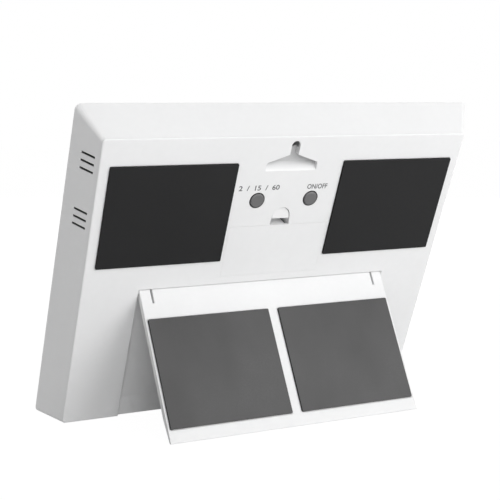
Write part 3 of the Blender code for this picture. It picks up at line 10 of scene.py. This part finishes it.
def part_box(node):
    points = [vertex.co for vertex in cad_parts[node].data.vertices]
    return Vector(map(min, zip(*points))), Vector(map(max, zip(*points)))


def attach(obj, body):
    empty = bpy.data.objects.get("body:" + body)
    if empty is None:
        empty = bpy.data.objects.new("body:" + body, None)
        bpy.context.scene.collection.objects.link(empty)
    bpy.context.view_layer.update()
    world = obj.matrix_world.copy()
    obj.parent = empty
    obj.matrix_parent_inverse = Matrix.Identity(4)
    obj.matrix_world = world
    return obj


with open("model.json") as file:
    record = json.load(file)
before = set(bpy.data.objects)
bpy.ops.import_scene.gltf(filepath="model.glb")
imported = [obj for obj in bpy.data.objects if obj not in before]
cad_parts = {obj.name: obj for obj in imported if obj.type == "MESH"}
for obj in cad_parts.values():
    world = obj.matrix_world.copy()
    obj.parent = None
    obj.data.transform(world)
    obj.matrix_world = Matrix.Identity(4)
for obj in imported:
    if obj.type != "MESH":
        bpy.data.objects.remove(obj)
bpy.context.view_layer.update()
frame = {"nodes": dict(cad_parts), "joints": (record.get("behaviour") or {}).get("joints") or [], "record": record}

# Lengths are in metres. The case's own frame has X to the right as the display is read,
# Y out of the back from its face, and Z up the back.
INWARD = (0.0, -1.0, 0.0)
RIGHT = (1.0, 0.0, 0.0)
LEFT = (-1.0, 0.0, 0.0)
UP = (0.0, 0.0, 1.0)
DOWN = (0.0, 0.0, -1.0)
BACK_MAGNET_FACE = Vector((-0.0524, 0.0007, 0.09635))    # the record's back_magnet_left_face

# Display: the middle of its window, its glass, and its digits
WINDOW_MIDDLE_Z = 0.08235
GLASS_FRONT_Y = -0.0183
DIGITS = (("1", -0.0480), ("5", -0.0195), ("0", 0.0195), ("0", 0.0480))
DIGIT_WIDTH = 0.0215
DIGIT_HEIGHT = 0.0480
DIGIT_DEPTH = 0.00006
DIGIT_SLANT = 0.09
STROKE = 0.0052
SEGMENT_GAP = 0.0005
COLON_REACH = 0.0095            # from the window's middle to each dot's
# Ends of the seven segments, in steps of half a digit across and up: top, upper right,
# lower right, bottom, lower left, upper left, middle
SEGMENT_ENDS = (
    (-1, 1, 1, 1), (1, 1, 1, 0), (1, 0, 1, -1), (1, -1, -1, -1),
    (-1, -1, -1, 0), (-1, 0, -1, 1), (-1, 0, 1, 0))
SHOWN_SEGMENTS = {"0": "1111110", "1": "0110000", "5": "1011011"}

# Labels: name, words, left, right, bottom and top, with left and right as seen from behind
LABELS = (
    ("alarm_seconds_label", "2  /  15  /  60", -0.0225, -0.0036, 0.1061, 0.1084),
    ("sound_switch_label", "ON/OFF", 0.0097, 0.0194, 0.1059, 0.1082))
LABEL_LIFT = 0.00002            # of the ink's middle over the back
INK_DEPTH = 0.00002
INK_SPREAD = 0.016              # in units of the letters' size

# Battery cover's opening, and the lip of the case that narrows its seam
COVER_HALF_OPENING = 0.0234
OPENING_BOTTOM_Z = 0.066
OPENING_TOP_Z = 0.0899
LATCH_HALF_WIDTH = 0.0046
LIP_ROOT = 0.0001               # into the opening's wall
LIP_REACH = 0.00026             # out towards the cover, which starts 0.3 mm from the wall
LIP_SINK = 0.00002
LIP_DEPTH = 0.0009

# Openings whose walls get painted shade; depths are where the painted shade starts and where it is full
MASK_EDGE = 0.0001
SLOTS_DEPTH = (0.00235, 0.00245)
SLOTS_INNER_X = 0.0780
SLOTS_BOTTOM_Z = 0.0899
SLOTS_TOP_Z = 0.1226
UNDER_SIDE_WALL = ((-0.871, -0.4907, 0.0), -0.07301, -0.07271)
HANGING_HOLE_TOP_Z = 0.1281
NAIL_HOLE_DEPTH = (0.0008, 0.0018)
NAIL_HOLE_HALF_WIDTH = 0.0021
NAIL_HOLE_BOTTOM_Z = 0.1243
NAIL_HOLE_FADE = 0.0006
FUNNEL_DEPTH = (0.0004, 0.0040)
FUNNEL_HALF_WIDTH = 0.0124
FUNNEL_BOTTOM_Z = 0.1145
BUTTON_GAP_DEPTH = (0.0, 0.0003)
BUTTON_XS = (0.0130, -0.0124)
BUTTON_Z = 0.1015
BUTTON_REACH = 0.0037           # from a button's middle past its hole's edge
BUTTON_SIDE_DEPTH = (-0.0002, 0.0001)

CELL_END = 0.0016               # bare steel at each end of a cell
CELL_BAND = 0.0115              # paler band of the sleeve, from one end

CASE_COLOUR = (0.86, 0.862, 0.865)
# The stand is the same white plastic as the case; its slightly darker colour is painted shade on the face that
# catches the light
STAND_SHADED_COLOUR = (0.825, 0.827, 0.83)
SATIN = 0.42                    # roughness of the outer mouldings
EDGE = 0.0003                   # usual radius of a moulded edge
EVEN = (1.0, 1.0, 1.0)          # noise that isn't drawn out
DRAWN = (0.2, 1.0, 1.0)         # noise drawn out across the part

# Camera, fitted to the photograph's corner points
CAMERA_PLACE = (0.256975, 0.465408, 0.128658)
CAMERA_TURN = (83.6802, 0.3424, 151.4535)
CAMERA_LENS = 89.23
CAMERA_SENSOR = 36.0
CAMERA_CLIP = (0.01, 20.0)

# Lamps: name, place, side of the square, power. The front one is low and to one side, so that it
# doesn't mirror in the display's lens, which leans back.
LAMPS = (
    ("key_light", (-0.58, 0.83, 0.38), 0.8, 6.0),
    ("fill_light", (0.30, 1.10, 0.35), 0.8, 4.9),
    ("front_light", (-0.75, -1.05, 0.30), 0.5, 11.0))
LAMP_AIM = Vector((0.0, 0.0, 0.06))
SKY_STRENGTH = 0.275
FLOOR_REACH = 4.0
FLOOR_GREY = 0.78
FLOOR_ROUGHNESS = 0.9
FLOOR_GLOW = 1.06               # white that only the camera sees on the floor
FLOOR_GLOW_SHARE = 0.92

# Moulded plastic and rubber: material, colour, roughness, edge radius, pieces
MOULDINGS = (
    ("case_white", CASE_COLOUR, SATIN, EDGE, ("front_case",)),
    ("stand_white", STAND_SHADED_COLOUR, SATIN, 0.0005, ("stand",)),
    ("cover_white", CASE_COLOUR, SATIN, 0.00008, ("battery_cover",)),
    ("rear_case_white", CASE_COLOUR, SATIN, 0.0001, ("rear_case",)),
    ("key_grey", (0.56, 0.575, 0.60), SATIN, EDGE, ("minute_key", "second_key", "reset_key")),
    ("start_key_blue_grey", (0.30, 0.36, 0.42), SATIN, EDGE, ("start_stop_key",)),
    ("button_grey", (0.15, 0.15, 0.152), 0.38, 0.0002, ("alarm_length_button", "sound_button")),
    ("holder_white", (0.72, 0.72, 0.71), 0.6, EDGE, ("lcd_holder",)),
    ("membrane_rubber", (0.25, 0.25, 0.26), 0.75, EDGE, ("keypad_membrane",)),
    ("contact_rubber", (0.5, 0.27, 0.27), 0.7, EDGE, ("zebra_strip_upper", "zebra_strip_lower")),
    ("switch_plastic", (0.03, 0.03, 0.03), 0.45, EDGE,
     ("alarm_length_switch", "sound_switch", "capacitor")),
    ("epoxy", (0.02, 0.02, 0.02), 0.22, EDGE, ("control_chip",)),
    ("wire_red", (0.45, 0.02, 0.02), 0.45, EDGE, ("sounder_wire_red", "battery_wire_red")),
    ("wire_black", (0.02, 0.02, 0.02), 0.45, EDGE, ("sounder_wire_black", "battery_wire_black")))

# Metals: material, colour, roughness, stretch of the grain, pieces
METALS = (
    ("brass", (0.72, 0.54, 0.24), 0.3, EVEN, ("piezo_disc",)),
    ("nickel", (0.66, 0.65, 0.62), 0.28, DRAWN,
     ("bridge_contact", "positive_contact", "negative_contact", "contact_spring_upper",
      "contact_spring_lower", "quartz_crystal")),
    ("zinc", (0.58, 0.59, 0.61), 0.33, EVEN,
     tuple(name for name in frame["nodes"] if "_screw_" in name)))

# Pairs of magnet sheets: material, colour, shine, share of the painted sheen clouding. Both pairs are the same
# black magnet rubber; the stand pair's paler colour is painted light, for the light its upturned sheets catch.
MAGNETS = (
    ("back_magnet", (0.011, 0.011, 0.0115), 0.3, 0.3),
    ("stand_magnet", (0.050, 0.0495, 0.050), 0.35, 0.9))

MOUNTS = {mount["name"]: mount for mount in frame["record"]["mounts"]}


def case_frame():
    """The case's frame in the row frame, from the record's press direction and magnet face."""
    press = next(j for j in frame["joints"] if j["name"] == "reset_key_press")
    out = Vector(press["axis"]).normalized()
    right = Vector(RIGHT)
    up = right.cross(out).normalized()
    turn = Matrix((right, out, up)).transposed()
    face = Vector(MOUNTS["back_magnet_left_face"]["pos_m"])
    return Matrix.Translation(face - turn @ BACK_MAGNET_FACE) @ turn.to_4x4()


CASE = case_frame()


# Materials

class Surface:
    """A node material on one Principled shader, built up step by step."""

    def __init__(self, name, colour, roughness, **sockets):
        self.material = bpy.data.materials.new(name)
        self.material.use_nodes = True
        self.nodes = self.material.node_tree.nodes
        self.links = self.material.node_tree.links
        self.shader = self.nodes["Principled BSDF"]
        self.shader.inputs["Base Color"].default_value = (*colour, 1.0)
        self.shader.inputs["Roughness"].default_value = roughness
        for socket, value in sockets.items():
            self.shader.inputs[socket.replace("_", " ")].default_value = value
        self.roughness = roughness
        self.normal = None
        self.coordinates = self.nodes.new("ShaderNodeTexCoord")
        self.place = self.coordinates.outputs["Object"]

    def noise(self, scale, detail=2.0, stretch=EVEN):
        """Noise in metres of the part, optionally drawn out along an axis."""
        source = self.place
        if stretch != EVEN:
            mapping = self.nodes.new("ShaderNodeMapping")
            mapping.inputs["Scale"].default_value = stretch
            self.links.new(source, mapping.inputs["Vector"])
            source = mapping.outputs["Vector"]
        noise = self.nodes.new("ShaderNodeTexNoise")
        noise.inputs["Scale"].default_value = scale
        noise.inputs["Detail"].default_value = detail
        self.links.new(source, noise.inputs["Vector"])
        return noise.outputs["Fac"]

    def place_in_case(self, piece):
        """The surface's place in the case's own frame."""
        into = CASE.inverted() @ piece.matrix_world
        mapping = self.nodes.new("ShaderNodeMapping")
        mapping.inputs["Location"].default_value = into.to_translation()
        mapping.inputs["Rotation"].default_value = into.to_euler()
        self.links.new(self.place, mapping.inputs["Vector"])
        return mapping.outputs["Vector"]

    def along(self, vector, direction):
        """How far a vector reaches in a direction."""
        dot = self.nodes.new("ShaderNodeVectorMath")
        dot.operation = "DOT_PRODUCT"
        dot.inputs[1].default_value = direction
        self.links.new(vector, dot.inputs[0])
        return dot.outputs["Value"]

    def within(self, place, limits):
        """1 where every (direction, start, end) limit is passed; each rises from start to end."""
        product = None
        for direction, start, end in limits:
            passed = self.ranged(self.along(place, direction), 0.0, 1.0, start, end)
            if product is None:
                product = passed
                continue
            both = self.nodes.new("ShaderNodeMath")
            both.operation = "MULTIPLY"
            self.links.new(product, both.inputs[0])
            self.links.new(passed, both.inputs[1])
            product = both.outputs["Value"]
        return product

    def ranged(self, value, low, high, start=0.3, end=0.7):
        """Low where the value is at the start, high where it is at the end, clamped beyond."""
        mapper = self.nodes.new("ShaderNodeMapRange")
        mapper.inputs["From Min"].default_value = start
        mapper.inputs["From Max"].default_value = end
        mapper.inputs["To Min"].default_value = low
        mapper.inputs["To Max"].default_value = high
        self.links.new(value, mapper.inputs["Value"])
        return mapper.outputs["Result"]

    def tint(self, value, other, amount, start=0.35, end=0.65):
        """Blend the colour towards another one where the value is past the start."""
        mix = self.nodes.new("ShaderNodeMix")
        mix.data_type = "RGBA"
        base = self.shader.inputs["Base Color"]
        if base.is_linked:
            self.links.new(base.links[0].from_socket, mix.inputs["A"])
        else:
            mix.inputs["A"].default_value = base.default_value
        mix.inputs["B"].default_value = (*other, 1.0)
        self.links.new(self.ranged(value, 0.0, amount, start, end), mix.inputs["Factor"])
        self.links.new(mix.outputs["Result"], base)

    def paint(self, mask, colour, amount):
        """Lay a colour over the places where a mask is 1."""
        self.tint(mask, colour, amount, start=0.0, end=1.0)

    def vary_roughness(self, value, spread):
        """Spread the roughness to both sides of its own value."""
        varied = self.ranged(value, self.roughness - spread, self.roughness + spread)
        self.links.new(varied, self.shader.inputs["Roughness"])

    def soften_edges(self, radius):
        """Round the edges in the shading alone."""
        bevel = self.nodes.new("ShaderNodeBevel")
        bevel.samples = 6
        bevel.inputs["Radius"].default_value = radius
        self.normal = bevel.outputs["Normal"]
        self.links.new(self.normal, self.shader.inputs["Normal"])

    def bump(self, value, strength, distance):
        """Add relief on top of what the normal already has."""
        node = self.nodes.new("ShaderNodeBump")
        node.inputs["Strength"].default_value = strength
        node.inputs["Distance"].default_value = distance
        self.links.new(value, node.inputs["Height"])
        if self.normal is not None:
            self.links.new(self.normal, node.inputs["Normal"])
        self.normal = node.outputs["Normal"]
        self.links.new(self.normal, self.shader.inputs["Normal"])


def scaled(colour, factor):
    return tuple(min(1.0, c * factor) for c in colour)


def moulded(name, colour, roughness, edge=EDGE):
    """Moulded plastic with a fine spark-eroded grain and faint flow marks."""
    surface = Surface(name, colour, roughness)
    darker = scaled(colour, 0.965)
    surface.tint(surface.noise(38.0, detail=3.0), darker, amount=0.5)
    surface.tint(surface.noise(420.0), darker, amount=0.35)
    surface.vary_roughness(surface.noise(160.0, detail=3.0), spread=0.05)
    surface.soften_edges(edge)
    surface.bump(surface.noise(2600.0, detail=3.0), strength=0.35, distance=0.00003)
    surface.bump(surface.noise(26.0, detail=1.0), strength=0.15, distance=0.0001)
    return surface


def magnet_sheet(name, colour, shine, sheen_clouding, outward):
    """Calendered magnet rubber: fine grain, faint streaks, broad lighter clouding that is painted sheen, and
    painted shade on the cut sides.
    """
    surface = Surface(name, colour, 0.5, Specular_IOR_Level=shine)
    lighter = scaled(colour, 1.25)
    # Painted sheen: broad lighter clouds across the sheet
    surface.tint(surface.noise(27.0, 3.0, (1.0, 1.0, 0.6)), scaled(colour, 1.7), sheen_clouding)
    surface.tint(surface.noise(1600.0, detail=4.0), lighter, amount=0.5)
    surface.tint(surface.noise(90.0, 3.0, DRAWN), lighter, amount=0.2)
    surface.vary_roughness(surface.noise(700.0, detail=3.0), spread=0.03)
    surface.soften_edges(0.00015)
    surface.bump(surface.noise(3600.0, detail=3.0), strength=0.35, distance=0.00003)
    # Painted shade: the cut sides, turned away from the sheet's outward face, go darker
    side_shade_facing = surface.along(surface.coordinates.outputs["Normal"], outward)
    surface.tint(side_shade_facing, scaled(colour, 0.25), amount=0.9, start=0.9, end=0.5)
    return surface


def metal(name, colour, roughness, stretch):
    """Worked metal with a fine grain."""
    surface = Surface(name, colour, roughness, Metallic=1.0)
    surface.tint(surface.noise(500.0, 3.0, stretch), scaled(colour, 0.8), amount=0.4)
    surface.vary_roughness(surface.noise(300.0, 3.0, stretch), spread=0.08)
    surface.soften_edges(0.0001)
    surface.bump(surface.noise(1500.0, 2.0, stretch), strength=0.15, distance=0.00002)
    return surface


def across(left, right):
    """Limits of a mask from left to right."""
    return [(RIGHT, left, left + MASK_EDGE), (LEFT, -right, -right + MASK_EDGE)]


def upright(bottom, top, fade=MASK_EDGE):
    """Limits of a mask from bottom to top, which fades in at its bottom."""
    return [(UP, bottom, bottom + fade), (DOWN, -top, -top + MASK_EDGE)]


def battery_cell(name, cell):
    """Printed sleeve with a paler band, and bare steel at both ends of the cell."""
    surface = moulded(name, (0.03, 0.055, 0.10), 0.3)
    low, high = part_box(cell)
    sleeve = surface.within(surface.place, across(low[0] + CELL_END, high[0] - CELL_END))
    band_start = high[0] - CELL_BAND
    band = surface.within(surface.place, [(RIGHT, band_start, band_start + MASK_EDGE)])
    surface.paint(band, (0.42, 0.44, 0.46), 1.0)
    surface.tint(sleeve, (0.62, 0.61, 0.58), amount=1.0, start=1.0, end=0.0)
    bare = surface.ranged(sleeve, 1.0, 0.0, start=0.0, end=1.0)
    surface.links.new(bare, surface.shader.inputs["Metallic"])
    return surface


def circuit_board():
    """Green solder mask over copper tracks, seen as a raised paler grid."""
    surface = Surface("solder_mask", (0.025, 0.16, 0.06), 0.3)
    tracks = surface.nodes.new("ShaderNodeTexBrick")
    tracks.inputs["Scale"].default_value = 160.0
    tracks.inputs["Mortar Size"].default_value = 0.06
    surface.links.new(surface.place, tracks.inputs["Vector"])
    surface.tint(tracks.outputs["Fac"], (0.07, 0.27, 0.10), amount=0.8, start=0.2, end=0.8)
    surface.tint(surface.noise(90.0, detail=3.0), (0.02, 0.12, 0.05), amount=0.4)
    surface.vary_roughness(surface.noise(200.0), spread=0.06)
    surface.bump(tracks.outputs["Fac"], strength=0.3, distance=0.00003)
    return surface


def clear_lens():
    """Clear acrylic with a slight wave."""
    surface = Surface(
        "clear_lens", (0.96, 0.975, 0.98), 0.03, Transmission_Weight=1.0, IOR=1.49)
    surface.tint(surface.noise(300.0, detail=4.0), (0.9, 0.92, 0.93), amount=0.3)
    surface.vary_roughness(surface.noise(500.0, detail=4.0), spread=0.02)
    surface.soften_edges(0.0001)
    surface.bump(surface.noise(18.0, detail=1.0), strength=0.05, distance=0.0001)
    return surface


def display_glass():
    """Reflective display: grey green with the faint mottle of its rear foil."""
    surface = Surface(
        "display_glass", (0.44, 0.47, 0.41), 0.22, Coat_Weight=0.6, Coat_Roughness=0.05)
    surface.tint(surface.noise(2200.0), (0.50, 0.53, 0.47), amount=0.6)
    surface.tint(surface.noise(14.0), (0.40, 0.43, 0.38), amount=0.5)
    surface.vary_roughness(surface.noise(900.0), spread=0.05)
    surface.bump(surface.noise(2500.0), strength=0.05, distance=0.00001)
    return surface


def printing_ink(name, colour):
    """Matt ink with a slightly uneven cover."""
    surface = Surface(name, colour, 0.55)
    surface.tint(surface.noise(2500.0, detail=3.0), scaled(colour, 1.5), amount=0.4)
    surface.vary_roughness(surface.noise(1500.0), spread=0.05)
    surface.bump(surface.noise(4000.0), strength=0.2, distance=0.00001)
    return surface


def shade_openings(surface):
    """Paint shade on the walls of the rear case's openings, which the white walls would light up."""
    place = surface.place_in_case(frame["nodes"]["rear_case"])
    sound_slots = [
        (INWARD, *SLOTS_DEPTH), UNDER_SIDE_WALL,
        (RIGHT, SLOTS_INNER_X, SLOTS_INNER_X + MASK_EDGE), *upright(SLOTS_BOTTOM_Z, SLOTS_TOP_Z)]
    nail_hole = [
        (INWARD, *NAIL_HOLE_DEPTH), *across(-NAIL_HOLE_HALF_WIDTH, NAIL_HOLE_HALF_WIDTH),
        *upright(NAIL_HOLE_BOTTOM_Z, HANGING_HOLE_TOP_Z, NAIL_HOLE_FADE)]
    funnel = [
        (INWARD, *FUNNEL_DEPTH), *across(-FUNNEL_HALF_WIDTH, FUNNEL_HALF_WIDTH),
        *upright(FUNNEL_BOTTOM_Z, HANGING_HOLE_TOP_Z)]
    # Painted shade: near black in the sound slots, nail hole and button gaps, a lighter grey in the hanging hole's
    # funnel
    shades = [
        (sound_slots, (0.03, 0.03, 0.03), 0.97), (nail_hole, (0.05, 0.05, 0.05), 0.95),
        (funnel, (0.36, 0.36, 0.365), 0.75)]
    for x in BUTTON_XS:
        button_hole = [
            (INWARD, *BUTTON_GAP_DEPTH), *across(x - BUTTON_REACH, x + BUTTON_REACH),
            *upright(BUTTON_Z - BUTTON_REACH, BUTTON_Z + BUTTON_REACH)]
        shades.append((button_hole, (0.04, 0.04, 0.04), 0.95))
    for limits, colour, amount in shades:
        surface.paint(surface.within(place, limits), colour, amount)


def shade_button_sides(surface):
    """Paint shade on what of the two buttons stands in their holes."""
    place = surface.place_in_case(frame["nodes"]["sound_button"])
    # Painted shade on the buttons' sides below the hole's edge
    sides = surface.within(place, [(INWARD, *BUTTON_SIDE_DEPTH)])
    surface.paint(sides, (0.015, 0.015, 0.015), 0.9)


def dress(surface, *names):
    for name in names:
        mesh = frame["nodes"][name].data
        mesh.materials.clear()
        mesh.materials.append(surface.material)


mouldings = {}
for material, colour, roughness, edge, pieces in MOULDINGS:
    mouldings[material] = moulded(material, colour, roughness, edge)
    dress(mouldings[material], *pieces)
shade_openings(mouldings["rear_case_white"])
shade_button_sides(mouldings["button_grey"])
for material, colour, roughness, stretch, pieces in METALS:
    dress(metal(material, colour, roughness, stretch), *pieces)
for material, colour, shine, sheen_clouding in MAGNETS:
    outward = MOUNTS[material + "_left_face"]["axis"]
    sheet = magnet_sheet(material, colour, shine, sheen_clouding, outward)
    dress(sheet, material + "_left", material + "_right")
for cell in ("battery_upper", "battery_lower"):
    dress(battery_cell(cell + "_sleeve", cell), cell)
dress(clear_lens(), "display_lens")
dress(display_glass(), "lcd_panel")
dress(circuit_board(), "main_circuit_board")


# Markings and display segments

def add_object(name, data):
    """A new object in the scene."""
    made = bpy.data.objects.new(name, data)
    bpy.context.scene.collection.objects.link(made)
    return made


def solid(name, outlines, y_back, y_front, surface):
    """Flat (x, z) outlines of the case frame as thin solids that ride on the case."""
    bm = bmesh.new()
    for outline in outlines:
        near = [bm.verts.new((x, y_front, z)) for x, z in outline]
        far = [bm.verts.new((x, y_back, z)) for x, z in outline]
        bm.faces.new(near)
        bm.faces.new(far)
        for index in range(len(outline)):
            after = (index + 1) % len(outline)
            bm.faces.new((near[index], near[after], far[after], far[index]))
    bmesh.ops.recalc_face_normals(bm, faces=bm.faces)
    mesh = bpy.data.meshes.new(name)
    bm.to_mesh(mesh)
    bm.free()
    mesh.transform(CASE)
    mesh.materials.append(surface.material)
    piece = add_object(name, mesh)
    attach(piece, "case")


def print_on_back(name, words, left, right, bottom, top, surface):
    """Letters printed on the back, fitted to a box; left and right as seen from behind."""
    curve = bpy.data.curves.new(name, "FONT")
    curve.body = words
    curve.resolution_u = 3
    curve.extrude = INK_DEPTH / 2
    curve.offset = INK_SPREAD
    source = add_object(name + "_source", curve)
    graph = bpy.context.evaluated_depsgraph_get()
    mesh = bpy.data.meshes.new_from_object(source.evaluated_get(graph))
    bpy.data.objects.remove(source)
    mesh.name = name
    xs = [vert.co.x for vert in mesh.vertices]
    ys = [vert.co.y for vert in mesh.vertices]
    wide = (right - left) / (max(xs) - min(xs))
    tall = (top - bottom) / (max(ys) - min(ys))
    for vert in mesh.vertices:
        across_back = left + (vert.co.x - min(xs)) * wide
        height = bottom + (vert.co.y - min(ys)) * tall
        vert.co = (-across_back, LABEL_LIFT + vert.co.z, height)
    mesh.transform(CASE)
    mesh.materials.clear()
    mesh.materials.append(surface.material)
    piece = add_object(name, mesh)
    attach(piece, "case")


def rectangle(left, bottom, right, top):
    return [(left, bottom), (right, bottom), (right, top), (left, top)]


def frame_bars(half_width, bottom, top, gap_half, thickness):
    """Outlines of a frame's bars, drawn inwards, with a break in the middle of the top."""
    inner = half_width - thickness
    return [
        rectangle(-half_width, bottom, half_width, bottom + thickness),
        rectangle(-half_width, top - thickness, -gap_half, top),
        rectangle(gap_half, top - thickness, half_width, top),
        rectangle(-half_width, bottom + thickness, -inner, top - thickness),
        rectangle(inner, bottom + thickness, half_width, top - thickness)]


def segment_bar(x0, z0, x1, z1):
    """A segment with pointed ends between two stroke ends."""
    along = Vector((x1 - x0, z1 - z0)).normalized()
    side = Vector((-along.y, along.x)) * STROKE / 2
    start = Vector((x0, z0)) + along * SEGMENT_GAP
    end = Vector((x1, z1)) - along * SEGMENT_GAP
    tip = along * STROKE / 2
    return [start, start + tip + side, end - tip + side, end, end - tip - side, start + tip - side]


def digit_outlines(digit, x):
    """Outlines of a slanted seven-segment digit whose middle is at x."""
    half_w = (DIGIT_WIDTH - STROKE) / 2
    half_h = (DIGIT_HEIGHT - STROKE) / 2
    bars = [
        segment_bar(x0 * half_w, z0 * half_h, x1 * half_w, z1 * half_h)
        for x0, z0, x1, z1 in SEGMENT_ENDS]
    shown = [bar for bar, flag in zip(bars, SHOWN_SEGMENTS[digit]) if flag == "1"]
    return [[(x + p.x + p.y * DIGIT_SLANT, WINDOW_MIDDLE_Z + p.y) for p in bar] for bar in shown]


def colon_outlines():
    """Outlines of the two dots in the middle of the window."""
    half = STROKE / 2
    dots = []
    for rise in (COLON_REACH, -COLON_REACH):
        x = rise * DIGIT_SLANT
        z = WINDOW_MIDDLE_Z + rise
        dots.append(rectangle(x - half, z - half, x + half, z + half))
    return dots


ink = printing_ink("label_ink", (0.10, 0.10, 0.103))
for name, words, left, right, bottom, top in LABELS:
    print_on_back(name, words, left, right, bottom, top, ink)

# Edge of the case that closes in on the battery cover, so that its seam is a hairline
seam_lip = frame_bars(
    COVER_HALF_OPENING + LIP_ROOT, OPENING_BOTTOM_Z - LIP_ROOT, OPENING_TOP_Z + LIP_ROOT,
    LATCH_HALF_WIDTH, LIP_ROOT + LIP_REACH)
solid("cover_seam_lip", seam_lip, -LIP_SINK, -LIP_SINK - LIP_DEPTH, mouldings["cover_white"])

segments = colon_outlines()
for digit, x in DIGITS:
    segments += digit_outlines(digit, x)
solid("display_segments", segments, GLASS_FRONT_Y, GLASS_FRONT_Y - DIGIT_DEPTH,
      printing_ink("segment_ink", (0.02, 0.022, 0.02)))


# Floor, light and camera

def stage_floor():
    """A pale floor whose camera view is nearly white, and which keeps the shadow."""
    bm = bmesh.new()
    bmesh.ops.create_grid(bm, x_segments=1, y_segments=1, size=FLOOR_REACH)
    mesh = bpy.data.meshes.new("floor")
    bm.to_mesh(mesh)
    bm.free()
    floor = add_object("floor", mesh)
    material = bpy.data.materials.new("pale_floor")
    material.use_nodes = True
    nodes = material.node_tree.nodes
    links = material.node_tree.links
    shader = nodes["Principled BSDF"]
    shader.inputs["Base Color"].default_value = (FLOOR_GREY, FLOOR_GREY, FLOOR_GREY, 1.0)
    shader.inputs["Roughness"].default_value = FLOOR_ROUGHNESS
    glow = nodes.new("ShaderNodeEmission")
    glow.inputs["Strength"].default_value = FLOOR_GLOW
    path = nodes.new("ShaderNodeLightPath")
    share = nodes.new("ShaderNodeMath")
    share.operation = "MULTIPLY"
    share.inputs[1].default_value = FLOOR_GLOW_SHARE
    mix = nodes.new("ShaderNodeMixShader")
    links.new(path.outputs["Is Camera Ray"], share.inputs[0])
    links.new(share.outputs["Value"], mix.inputs["Fac"])
    links.new(shader.outputs["BSDF"], mix.inputs[1])
    links.new(glow.outputs["Emission"], mix.inputs[2])
    links.new(mix.outputs["Shader"], nodes["Material Output"].inputs["Surface"])
    mesh.materials.append(material)


def sky():
    """Even soft light; the camera and shiny or clear pieces see plain white."""
    world = bpy.data.worlds.new("studio")
    bpy.context.scene.world = world
    world.use_nodes = True
    nodes = world.node_tree.nodes
    links = world.node_tree.links
    light = nodes["Background"]
    seen = nodes.new("ShaderNodeBackground")
    for background, strength in ((light, SKY_STRENGTH), (seen, 1.0)):
        background.inputs["Color"].default_value = (1.0, 1.0, 1.0, 1.0)
        background.inputs["Strength"].default_value = strength
    path = nodes.new("ShaderNodeLightPath")
    sees = path.outputs["Is Camera Ray"]
    for ray in ("Is Glossy Ray", "Is Transmission Ray"):
        either = nodes.new("ShaderNodeMath")
        either.operation = "MAXIMUM"
        links.new(sees, either.inputs[0])
        links.new(path.outputs[ray], either.inputs[1])
        sees = either.outputs["Value"]
    mix = nodes.new("ShaderNodeMixShader")
    links.new(sees, mix.inputs["Fac"])
    links.new(light.outputs["Background"], mix.inputs[1])
    links.new(seen.outputs["Background"], mix.inputs[2])
    links.new(mix.outputs["Shader"], nodes["World Output"].inputs["Surface"])


def soft_box(name, place, side, power):
    """A square lamp that faces the timer."""
    light = bpy.data.lights.new(name, "AREA")
    light.shape = "SQUARE"
    light.size = side
    light.energy = power
    lamp = add_object(name, light)
    lamp.location = place
    lamp.rotation_euler = (LAMP_AIM - Vector(place)).to_track_quat("-Z", "Y").to_euler()


def camera():
    data = bpy.data.cameras.new("camera")
    data.lens = CAMERA_LENS
    data.sensor_width = CAMERA_SENSOR
    data.clip_start, data.clip_end = CAMERA_CLIP
    seer = add_object("camera", data)
    seer.location = CAMERA_PLACE
    seer.rotation_euler = [math.radians(angle) for angle in CAMERA_TURN]
    bpy.context.scene.camera = seer


stage_floor()
sky()
for name, place, side, power in LAMPS:
    soft_box(name, place, side, power)
camera()
bpy.context.scene.view_settings.view_transform = "Standard"
